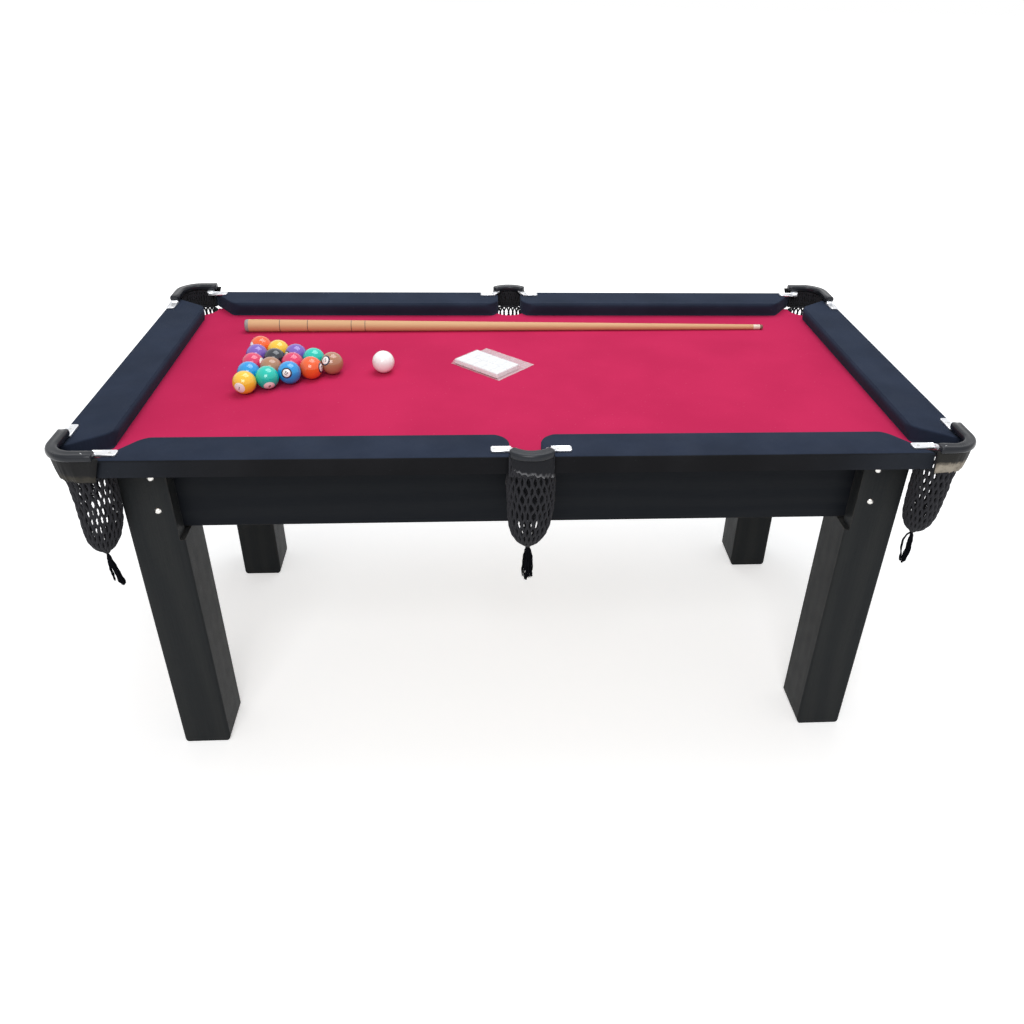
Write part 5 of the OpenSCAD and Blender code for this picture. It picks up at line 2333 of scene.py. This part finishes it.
    def add_tuft(
        self, draft: MeshDraft, tuft: Tuft, curve: np.ndarray, rng: np.random.Generator
    ) -> None:
        """Adds one bundle's thin strands.

        Args:
            draft: The mesh that they join.
            tuft: The bundle.
            curve: The line that its middle follows.
            rng: The net's own random numbers.
        """
        share = np.linspace(0, 1, len(curve))
        spread = np.interp(share, (0, 0.12, 0.4, 0.75, 1), (0.15, 0.5, 0.9, 1.0, 0.7)) * tuft.spread
        for i in range(tuft.count):
            angle, reach = i * 2.4, math.sqrt((i + 0.5) / tuft.count)
            phase = rng.uniform(0, 6.28, 3)
            stop = round(len(curve) * (1 - tuft.ragged * rng.uniform()))
            strand, s = curve[:stop].copy(), share[:stop]
            wave = 0.0009 * s
            strand[:, 0] += spread[:stop] * reach * math.cos(angle) + wave * np.sin(
                s * 19 + phase[0]
            )
            strand[:, 1] += spread[:stop] * reach * math.sin(angle) + wave * np.sin(
                s * 15 + phase[1]
            )
            thick = rng.uniform(0.0011, 0.0016) * (1 + 0.25 * np.sin(s * 34 + phase[2]))
            thick[-2:] *= (0.75, 0.4)
            draft.tube(strand, thick, sides=5)


# Where each ball's number lies, right and down from its middle in the photograph, in radii
BADGE_TILTS: dict[int, Point2] = {
    2: (0.35, 0.72), 3: (0.88, -0.12), 4: (-0.55, 0.8), 5: (-0.93, 0.02), 7: (0.75, 0.55),
    8: (0.3, 0.9), 9: (0.3, 0.62), 11: (0.6, 0.75), 12: (-0.86, 0.08), 13: (0.92, -0.02),
    14: (0.5, 0.84),
}
# How far each number is turned, in degrees
BADGE_ROLLS: dict[int, float] = {1: -20, 6: 160, 9: 80, 10: 60, 12: -30, 13: 100, 15: 20}


@dataclass
class Balls(SubAssembly):
    """The fifteen numbered balls and the cue ball."""

    camera: PhotoCamera = field(default_factory=PhotoCamera)
    badge_r: float = 0.0118
    badge_inner_r: float = 0.0088

    def build(self) -> None:
        """Makes each ball with its number, at its CAD node's place."""
        resins = list(Resin)
        for number in range(1, 16):
            node = f"ball_{number}"
            centre, r = self.sphere(node)
            resin = resins[(number - 1) % len(resins)]
            aim = self.badge_aim(number, centre)
            draft = MeshDraft()
            self.add_ball(draft, centre, r, aim, ringed=number > 8)
            self.add_digits(draft, str(number), centre, r, aim, BADGE_ROLLS.get(number, 0.0))
            finishes = (resin.finish(), BADGE, BADGE_RING, DIGIT)
            piece = draft.build(f"{node}_resin", [f.material() for f in finishes])
            self.keep(piece, node, "ball_" + resin.name.lower(), [node])
        centre, r = self.sphere("cue_ball")
        draft = MeshDraft()
        self.add_ball(draft, centre, r, Vector((0, 0, 1)), plain=True)
        piece = draft.build("cue_ball_resin", [CUE_BALL_RESIN.material()])
        self.keep(piece, "cue_ball", "ball_white", ["cue_ball"])

    def sphere(self, node: str) -> tuple[Vector, float]:
        """Finds a ball's centre and radius."""
        low, high = (Vector(corner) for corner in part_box(node))
        return (low + high) / 2, (high.z - low.z) / 2

    def badge_aim(self, number: int, centre: Vector) -> Vector:
        """Finds which way a ball's number looks.

        Args:
            number: The ball's number.
            centre: Its centre.

        Returns:
            A unit vector.
        """
        point = IMAGE_POINTS.get(f"badge_{number}")
        if point is not None:
            part = frame["nodes"][f"ball_{number}"]
            tree = BVHTree.FromObject(part, bpy.context.evaluated_depsgraph_get())
            return (self.camera.place(point, tree) - centre).normalized()
        right, down = BADGE_TILTS[number]
        back = (Vector(self.camera.position) - centre).normalized()
        side = self.camera.matrix().to_3x3().col[0]
        side = (side - back * side.dot(back)).normalized()
        up = back.cross(side)
        rest = math.sqrt(max(0.0, 1 - right * right - down * down))
        return (side * right - up * down + back * rest).normalized()

    def add_ball(
        self, draft: MeshDraft, centre: Vector, r: float, aim: Vector, ringed: bool = False,
        plain: bool = False,
    ) -> None:
        """Adds a ball as rings about its number's direction.

        Args:
            draft: The mesh that it joins.
            centre: Its centre.
            r: Its radius.
            aim: The way that its number looks.
            ringed: Whether a dark ring runs round the number.
            plain: Whether it has no number at all.
        """
        side = aim.orthogonal().normalized()
        other = aim.cross(side)
        inner, outer = math.asin(self.badge_inner_r / r), math.asin(self.badge_r / r)
        bands = [
            (0.02, inner, 8, 1), (inner, outer, 3, 2 if ringed else 1),
            (outer, math.pi - 0.02, 40, 0),
        ]
        if plain:
            bands = [(0.02, math.pi - 0.02, 48, 0)]
        for start, end, steps, slot in bands:
            rings = []
            for i in range(steps + 1):
                a = start + (end - start) * i / steps
                rings.append(
                    [
                        centre + r * math.cos(a) * aim
                        + r * math.sin(a) * (math.cos(b) * side - math.sin(b) * other)
                        for b in np.linspace(0, 2 * math.pi, 64, endpoint=False)
                    ]
                )
            draft.loft(rings, slot=slot, caps=(start < 0.05, end > 3))

    def add_digits(
        self, draft: MeshDraft, text: str, centre: Vector, r: float, aim: Vector, roll: float
    ) -> None:
        """Lays a number on the ball.

        Args:
            draft: The mesh that it joins.
            text: The number.
            centre: The ball's centre.
            r: Its radius.
            aim: The way that the number looks.
            roll: How far it is turned, in degrees.
        """
        verts, faces = digit_mesh(text)
        up = Vector((0, 0, 1)) if abs(aim.z) < 0.95 else Vector((0, 1, 0))
        side = up.cross(aim).normalized()
        turned = Matrix.Rotation(math.radians(roll), 3, aim)
        side = turned @ side
        top = aim.cross(side)
        placed = []
        for x, y in verts:
            point = aim * math.sqrt(r * r - x * x - y * y) + side * x + top * y
            placed.append(centre + point.normalized() * (r + 0.00006))
        numbers = draft.add_points(placed)
        for face in faces:
            draft.add_face([numbers[i] for i in face], 3)


@lru_cache(maxsize=None)
def digit_mesh(text: str) -> tuple[tuple[Point2, ...], tuple[tuple[int, ...], ...]]:
    """Draws a number in Blender's own plain type, cut into small triangles.

    Args:
        text: The number.

    Returns:
        Its flat vertices and its faces.
    """
    curve = bpy.data.curves.new("digits", "FONT")
    curve.body = text
    curve.size = 0.0118 if len(text) == 1 else 0.0098
    curve.align_x, curve.align_y = "CENTER", "CENTER"
    curve.offset = 0.0002
    holder = bpy.data.objects.new("digits", curve)
    bpy.context.scene.collection.objects.link(holder)
    graph = bpy.context.evaluated_depsgraph_get()
    flat = bpy.data.meshes.new_from_object(holder.evaluated_get(graph))
    mesh = bmesh.new()
    mesh.from_mesh(flat)
    bmesh.ops.triangulate(mesh, faces=mesh.faces)
    for _ in range(3):
        long_edges = [e for e in mesh.edges if e.calc_length() > 0.0013]
        bmesh.ops.subdivide_edges(mesh, edges=long_edges, cuts=1)
        bmesh.ops.triangulate(mesh, faces=mesh.faces)
    mesh.verts.index_update()
    middle_y = (min(v.co.y for v in mesh.verts) + max(v.co.y for v in mesh.verts)) / 2
    middle_x = (min(v.co.x for v in mesh.verts) + max(v.co.x for v in mesh.verts)) / 2
    verts = tuple((v.co.x - middle_x, v.co.y - middle_y) for v in mesh.verts)
    faces = tuple(tuple(v.index for v in f.verts) for f in mesh.faces)
    mesh.free()
    bpy.data.objects.remove(holder)
    bpy.data.curves.remove(curve)
    bpy.data.meshes.remove(flat)
    return verts, faces


@dataclass
class Cue(SubAssembly):
    """The one-piece cue: a tapering shaft with four rings, a bumper, a ferrule and a tip."""

    start: Point2 = (-0.672, 0.266)
    turn: float = math.radians(0.6)
    length: float = 1.337
    butt_d: float = 0.031
    tip_d: float = 0.0125
    bumper_l: float = 0.010
    ferrule_l: float = 0.018
    tip_l: float = 0.009
    rings: tuple[float, ...] = (0.0865, 0.1555, 0.2645, 0.299)
    ring_w: float = 0.0016

    def build(self) -> None:
        """Turns the four pieces of the cue."""
        shaft_end = self.length - self.ferrule_l - self.tip_l
        shaft = MeshDraft()
        edge = self.bumper_l
        for place in self.rings:
            self.turn_stretch(shaft, [(edge, 0.0), (place, 0.0)], 0)
            self.turn_stretch(
                shaft,
                [(place, 0.0), (place + 0.0003, -0.0003), (place + self.ring_w - 0.0003, -0.0003),
                 (place + self.ring_w, 0.0)],
                1,
            )
            edge = place + self.ring_w
        self.turn_stretch(shaft, [(edge, 0.0), (shaft_end, 0.0)], 0)
        piece = shaft.build("cue_shaft_wood", [CUE_WOOD.material(), CUE_RING.material()])
        self.keep(piece, "cue", "cue_wood", ["cue_shaft"])
        stretches = (
            ("cue_bumper_rubber", "bumper_rubber", BUMPER, "cue_bumper", [
                (0.0, -0.006), (0.0002, -0.004), (0.0009, -0.0022), (0.0024, -0.0008),
                (0.0045, -0.0002), (0.0088, -0.0002), (0.0094, -0.0006), (self.bumper_l, -0.0006)]),
            ("cue_ferrule_ring", "ferrule_plastic", FERRULE, "cue_ferrule", [
                (shaft_end, -0.0002), (shaft_end + 0.0006, 0.0), (
                    self.length - self.tip_l - 0.0006, 0.0
                ),
                (self.length - self.tip_l, -0.0003)]),
            ("cue_tip_leather", "tip_leather", TIP, "cue_tip", [
                (self.length - self.tip_l, -0.0003), (self.length - 0.0052, 0.0),
                (self.length - 0.0026, -0.0006), (self.length - 0.0010, -0.0022),
                (self.length - 0.0002, -0.0042), (self.length, -0.0056)]),
        )
        for name, slot, finish, node, profile in stretches:
            draft = MeshDraft()
            self.turn_stretch(draft, profile, 0, caps=(True, True))
            piece = draft.build(name, [finish.material()])
            self.keep(piece, "cue", slot, [node])

    def turn_stretch(
        self, draft: MeshDraft, profile: Sequence[Point2], slot: int, caps: tuple[bool, bool] = (
            False, False
        )
    ) -> None:
        """Turns one stretch about the cue's axis.

        Args:
            draft: The mesh that it joins.
            profile: Distances along the cue, and how far the surface lies from its taper.
            slot: The material slot.
            caps: Whether the first and the last ring are filled.
        """
        taper = math.atan((self.butt_d - self.tip_d) / 2 / self.length)
        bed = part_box("cue_bumper")[0][2]
        origin = Vector((*self.start, bed + self.butt_d / 2 * math.cos(taper)))
        way = Vector(
            (
                math.cos(self.turn) * math.cos(taper), math.sin(self.turn) * math.cos(taper),
                -math.sin(taper),
            )
        )
        side = Vector((-math.sin(self.turn), math.cos(self.turn), 0.0))
        up = way.cross(side)
        rings = []
        for place, offset in profile:
            r = self.butt_d / 2 - place * math.tan(taper) + offset
            rings.append(
                [
                    origin + way * place + r * (math.cos(a) * side + math.sin(a) * up)
                    for a in np.linspace(0, 2 * math.pi, 40, endpoint=False)
                ]
            )
        draft.loft(rings, slot=slot, caps=caps, along=[p for p, _ in profile])


@dataclass
class ChalkPacket(SubAssembly):
    """White chalk blocks in a clear bag whose empty flap is creased."""

    place: Point2 = (-0.053, 0.052)
    turn: float = math.radians(-43.0)
    bag: Point2 = (0.152, 0.127)
    seal: float = 0.0092
    front: float = 0.004
    block: Point3 = (0.026, 0.038, 0.012)
    count: tuple[int, int] = (5, 2)
    gap: float = 0.0006
    film: float = 0.0008

    def build(self) -> None:
        """Makes the blocks, and the bag's upper and lower film."""
        blocks = MeshDraft()
        for i in range(self.count[0]):
            for j in range(self.count[1]):
                self.add_block(blocks, i, j)
        piece = blocks.build("chalk_blocks_pressed", [CHALK.material()], smooth=False)
        self.keep(piece, "chalk_packet", "chalk", ["chalk_blocks"])
        upper = self.film_sheet("chalk_bag_upper_film", self.upper)
        lower = self.film_sheet("chalk_bag_lower_film", lambda x, y: 0.0002)

    def to_table(self, x: float, y: float, z: float) -> Point3:
        """Moves a point from the bag's own frame to its place on the bed.

        Args:
            x: Along the bag, from its middle.
            y: Across the bag, from its middle.
            z: Above the bag's underside.

        Returns:
            The place.
        """
        c, s = math.cos(self.turn), math.sin(self.turn)
        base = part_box("chalk_bag")[0][2]
        return self.place[0] + x * c - y * s, self.place[1] + x * s + y * c, base + z

    @property
    def fill(self) -> tuple[float, float, float, float]:
        """The edges of the blocks' space: low x, high x, low y, high y."""
        x0 = self.seal - self.bag[0] / 2
        y0 = self.front - self.bag[1] / 2
        x1 = x0 + self.count[0] * (self.block[0] + self.gap) + self.gap
        y1 = y0 + self.count[1] * (self.block[1] + self.gap) + self.gap
        return x0, x1, y0, y1

    def add_block(self, draft: MeshDraft, i: int, j: int) -> None:
        """Adds a block with eased edges.

        Args:
            draft: The mesh that it joins.
            i: Its place along the bag.
            j: Its place across the bag.
        """
        x0, _, y0, _ = self.fill
        w, d, h = self.block
        left = x0 + self.gap + i * (w + self.gap)
        low = y0 + self.gap + j * (d + self.gap)
        rings = []
        for inset, z in ((0.0012, 0.0), (0.0, 0.0012), (0.0, h - 0.0014), (0.0014, h)):
            r = 0.0016
            outline = arc((left + inset + r, low + inset + r), r, 180, 270, 3)
            outline += arc((left + w - inset - r, low + inset + r), r, 270, 360, 3)
            outline += arc((left + w - inset - r, low + d - inset - r), r, 0, 90, 3)
            outline += arc((left + inset + r, low + d - inset - r), r, 90, 180, 3)
            rings.append([self.to_table(x, y, self.film + z) for x, y in outline])
        draft.loft(rings, caps=(True, True))

    def upper(self, x: float, y: float) -> float:
        """Gives the upper film's height over a place.

        Args:
            x: Along the bag, from its middle.
            y: Across the bag, from its middle.

        Returns:
            The height above the bag's underside.
        """
        x0, x1, y0, y1 = self.fill
        inside = min(x - x0, x1 - x, y - y0, y1 - y)
        over = smooth_step(-0.0085, 0.0015, inside)
        rim = min(self.bag[0] / 2 - abs(x), self.bag[1] / 2 - abs(y))
        free = smooth_step(0.0, 0.01, rim)
        place = Vector((x * 34, y * 34, 3.1))
        folds = 1 - 2 * abs(noise.noise(place))
        fine = 1 - 2 * abs(noise.noise(place * 2.7))
        flap = smooth_step(y1 - 0.004, y1 + 0.012, y)
        crease = (folds * 0.0032 + fine * 0.0014) * (0.16 + 0.84 * max(flap, 1 - over)) * free
        top = self.film + self.block[2] + 0.0009
        return 0.0009 + (top - 0.0009) * over + max(crease, -0.0002) * (1 - 0.75 * over)

    def film_sheet(self, name: str, height: Callable[[float, float], float]) -> bpy.types.Object:
        """Makes one sheet of the bag.

        Args:
            name: The piece's name.
            height: Its height over a place in the bag.

        Returns:
            The piece.
        """
        nx, ny = 110, 92
        rows = []
        for j in range(ny + 1):
            row = []
            for i in range(nx + 1):
                x = (i / nx - 0.5) * self.bag[0]
                y = (j / ny - 0.5) * self.bag[1]
                wave = 0.0009 * noise.noise(Vector((x * 60, y * 60, 8.0)))
                row.append(self.to_table(x + wave, y + wave, height(x, y)))
            rows.append(row)
        draft = MeshDraft()
        draft.loft(rows, closed=False)
        piece = draft.build(name, [FILM.material()])
        return self.keep(piece, "chalk_packet", "clear_film", ["chalk_bag"])


# ---------------------------------------------------------------- studio


@dataclass(frozen=True)
class Lamp:
    """A soft square light."""

    name: str
    place: Point3
    aim: Point3
    size: float
    power: float
    colour: Colour = (1.0, 1.0, 1.0)

    def make(self) -> None:
        """Adds the light."""
        data = bpy.data.lights.new(self.name, "AREA")
        data.shape = "SQUARE"
        data.size = self.size
        data.energy = self.power
        data.color = self.colour
        light = bpy.data.objects.new(self.name, data)
        light.location = self.place
        way = Vector(self.aim) - Vector(self.place)
        light.rotation_euler = way.to_track_quat("-Z", "Y").to_euler()
        bpy.context.scene.collection.objects.link(light)


@dataclass(frozen=True)
class Studio:
    """A pale floor, a white surround and soft lights."""

    lamps: tuple[Lamp, ...] = (
        Lamp("front_softbox", (-0.6, -3.4, 3.4), (0.0, 0.0, 0.6), 2.0, 85.0),
        Lamp("top_softbox", (0.3, 0.6, 3.6), (0.0, 0.0, 0.7), 2.2, 62.0, (0.92, 0.96, 1.0)),
    )
    surround: float = 0.40
    floor_half: float = 30.0

    def build(self) -> None:
        """Makes the floor, the world and the lamps."""
        self.lay_floor()
        self.light_world()
        for lamp in self.lamps:
            lamp.make()
        bpy.context.scene.view_settings.view_transform = "Standard"

    def lay_floor(self) -> None:
        """Lays a pale floor that keeps the table's shadow."""
        h = self.floor_half
        draft = MeshDraft()
        draft.add_face(draft.add_points([(-h, -h, 0), (h, -h, 0), (h, h, 0), (-h, h, 0)]))
        floor = draft.build("studio_floor", [self.floor_material()], smooth=False)
        floor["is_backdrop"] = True

    def floor_material(self) -> bpy.types.Material:
        """Makes the floor's white, which the camera and reflections see a little brighter.

        Returns:
            The material.
        """
        made = bpy.data.materials.new("studio_floor_white")
        made.use_nodes = True
        made.node_tree.nodes.clear()
        g = Graph(made.node_tree)
        diffuse = g.add("BsdfDiffuse", {"Color": (0.82, 0.82, 0.82)}).outputs[0]
        place = g.add("TexCoord").outputs["Object"]
        away = g.add("VectorMath", {0: place}, operation="LENGTH").outputs["Value"]
        lift = g.math("ADD", g.math("MULTIPLY", g.ramp(away, 1.0, 4.0), 0.5), 0.5)
        strength = g.math("MULTIPLY", self.seen(g, 1.0), lift)
        glow = g.add("Emission", {"Color": (1.0, 1.0, 1.0), "Strength": strength}).outputs[0]
        both = g.add("AddShader", {0: diffuse, 1: glow}).outputs[0]
        output = g.add("OutputMaterial")
        g.put(output.inputs["Surface"], both)
        return made

    def seen(self, g: Graph, strength: float) -> Socket:
        """Gives a strength to rays from the camera and from gloss or glass, and none to others.

        Args:
            g: The graph.
            strength: The strength.

        Returns:
            The socket with the strength.
        """
        path = g.add("LightPath").outputs
        seen = g.math("MAXIMUM", path["Is Camera Ray"], path["Is Glossy Ray"])
        seen = g.math("MAXIMUM", seen, path["Is Transmission Ray"])
        return g.math("MULTIPLY", seen, strength)

    def light_world(self) -> None:
        """Sets a soft even surround that shows as white."""
        world = bpy.data.worlds.new("studio_world")
        bpy.context.scene.world = world
        world.use_nodes = True
        world.node_tree.nodes.clear()
        g = Graph(world.node_tree)
        extra = self.seen(g, 1.0 - self.surround)
        strength = g.math("ADD", extra, self.surround)
        back = g.add("Background", {"Color": (1.0, 1.0, 1.0), "Strength": strength}).outputs[0]
        output = g.add("OutputWorld")
        g.put(output.inputs["Surface"], back)


# ---------------------------------------------------------------- measures


@dataclass(frozen=True)
class Ruler:
    """Measures where the finished pieces show in the photograph's frame."""

    camera: PhotoCamera

    def points(self, *names: str) -> np.ndarray:
        """Gathers the finished vertices of pieces.

        Args:
            names: The pieces' names, or none for every shown piece.

        Returns:
            An array of x, y, z rows.
        """
        graph = bpy.context.evaluated_depsgraph_get()
        pieces = [bpy.data.objects[n] for n in names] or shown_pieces()
        found = []
        for piece in pieces:
            ready = piece.evaluated_get(graph)
            mesh = ready.to_mesh()
            coords = np.zeros(len(mesh.vertices) * 3)
            mesh.vertices.foreach_get("co", coords)
            turn = np.array(ready.matrix_world)
            found.append(coords.reshape(-1, 3) @ turn[:3, :3].T + turn[:3, 3])
            ready.to_mesh_clear()
        return np.vstack(found)

    def shown(self, *names: str) -> np.ndarray:
        """Shows pieces' vertices in the photograph's frame."""
        return self.camera.project(self.points(*names))

    def middle(self, *names: str) -> Point2:
        """Finds the middle of what pieces cover in the photograph's frame.

        Args:
            names: The pieces' names.

        Returns:
            x and y.
        """
        seen = self.shown(*names)
        low, high = seen.min(axis=0), seen.max(axis=0)
        return tuple((low + high) / 2)

    def edge(self, way: Point2, *names: str) -> Point2:
        """Finds the outermost place of pieces in one direction of the photograph's frame.

        Args:
            way: The direction, y down.
            names: The pieces' names, or none for every shown piece.

        Returns:
            The middle of the vertices within a pixel of the outermost one.
        """
        seen = self.shown(*names)
        reach = seen @ np.array(way, float)
        return tuple(seen[reach > reach.max() - 1.0].mean(axis=0))

    def near(self, place: Point3, *names: str) -> Point2:
        """Shows the finished vertex that lies nearest to a place.

        Args:
            place: The place in the model's frame.
            names: The pieces' names.

        Returns:
            x and y in the photograph's frame.
        """
        points = self.points(*names)
        nearest = points[np.linalg.norm(points - np.array(place), axis=1).argmin()]
        return tuple(self.camera.project(nearest[None])[0])

    def badge(self, number: int) -> Point2:
        """Finds the middle of what shows of a ball's number disc.

        Args:
            number: The ball's number.

        Returns:
            x and y in the photograph's frame.
        """
        mesh = bpy.data.objects[f"ball_{number}_resin"].data
        eye = Vector(self.camera.position)
        verts = {
            v
            for face in mesh.polygons
            if face.material_index in (1, 2) and face.normal.dot(eye - face.center) > 0
            for v in face.vertices
        }
        seen = self.camera.project(np.array([mesh.vertices[v].co for v in verts]))
        return tuple((seen.min(axis=0) + seen.max(axis=0)) / 2)

    def measure(self, sizes: TableSizes) -> dict[str, Point2]:
        """Finds where each named image point's feature shows.

        Args:
            sizes: The table's sizes.

        Returns:
            x and y for each name.
        """
        cx, _ = sizes.corner
        ear = (cx - sizes.corner_web_in[0] - sizes.ear_l / 2, sizes.half_w - sizes.ear_in)
        return {
            "object_left": self.edge((-1, 0)),
            "object_right": self.edge((1, 0)),
            "object_top": self.edge((0, -1)),
            "object_bottom": self.edge((0, 1)),
            "leg_front_right_foot": self.edge((0, 1), "leg_front_right"),
            "leg_back_left_foot": self.edge((0, 1), "leg_back_left"),
            "ear_front_left": self.near(
                (-ear[0], -ear[1], sizes.rail_top + sizes.ear_t), "pocket_iron_front_left"
            ),
            "net_knot_front_middle": self.near(
                tuple(Net(sizes, spot=SPOTS[1]).knot), "net_front_middle_cord"
            ),
            "cue_butt": self.edge((-1, 0), "cue_bumper_rubber"),
            "cue_tip": self.edge((1, 0), "cue_tip_leather"),
            "cue_ball": self.middle("cue_ball_resin"),
            "ball_1": self.middle("ball_1_resin"),
            "badge_1": self.badge(1),
            "badge_6": self.badge(6),
            "badge_10": self.badge(10),
            "badge_15": self.badge(15),
            "packet_front": self.edge((0, 1), "chalk_bag_upper_film"),
        }

    def write(self, sizes: TableSizes) -> None:
        """Measures where each named feature shows.

        Args:
            sizes: The table's sizes.
        """
        found = self.measure(sizes)


# ---------------------------------------------------------------- the whole scene


SPOTS = (
    Spot(
        Place.LEFT, Depth.FRONT, scallop=(0.3, 0.95), tassel=TasselShape.SPREAD, girth=0.95,
        lip_reach=0.016, sway=(0.003, 0.004), lean=(-0.0077, 0.0), cord_share=1.08, seed=11,
    ),
    Spot(
        Place.MIDDLE, Depth.FRONT, scallop=(0.3, 0.8), torn=True, tassel=TasselShape.THICK,
        girth=1.12, shift=0.010, sway=(0.002, 0.0), lean=(-0.0024, 0.0), cord_share=1.15, seed=12,
    ),
    Spot(
        Place.RIGHT, Depth.FRONT, scallop=(0.0, 0.75), scuffed=True, tassel=TasselShape.LOOP,
        girth=0.88, lean=(-0.0064, 0.0), lift=0.020, cord_share=1.32, seed=13,
    ),
    Spot(
        Place.LEFT, Depth.BACK, scallop=(0.2, 0.9), tassel=TasselShape.THICK, lip_reach=0.015,
        seed=14,
    ),
    Spot(Place.MIDDLE, Depth.BACK, scallop=(0.3, 0.9), tassel=TasselShape.SPREAD, seed=15),
    Spot(
        Place.RIGHT, Depth.BACK, scallop=(0.1, 0.7), tassel=TasselShape.THICK, lip_reach=0.015,
        seed=16,
    ),
)


def main() -> None:
    """Builds the scene, piece by piece, and measures it."""
    logging.basicConfig(level=logging.INFO, format="%(name)s: %(message)s")
    camera = PhotoCamera()
    camera.make()
    sizes = TableSizes.from_frame()
    groups: list[SubAssembly] = [Net(sizes, spot=spot) for spot in SPOTS]
    groups += [Woodwork(sizes), Bed(sizes), Rails(sizes)]
    groups += [Collar(sizes, spot=spot) for spot in SPOTS]
    groups += [PocketIron(sizes, spot=spot) for spot in SPOTS]
    groups += [Balls(sizes, camera=camera), Cue(sizes), ChalkPacket(sizes)]
    for group in groups:
        group.build()
    Studio().build()
    bpy.context.view_layer.update()
    Ruler(camera).write(sizes)


if __name__ == "__main__":
    main()
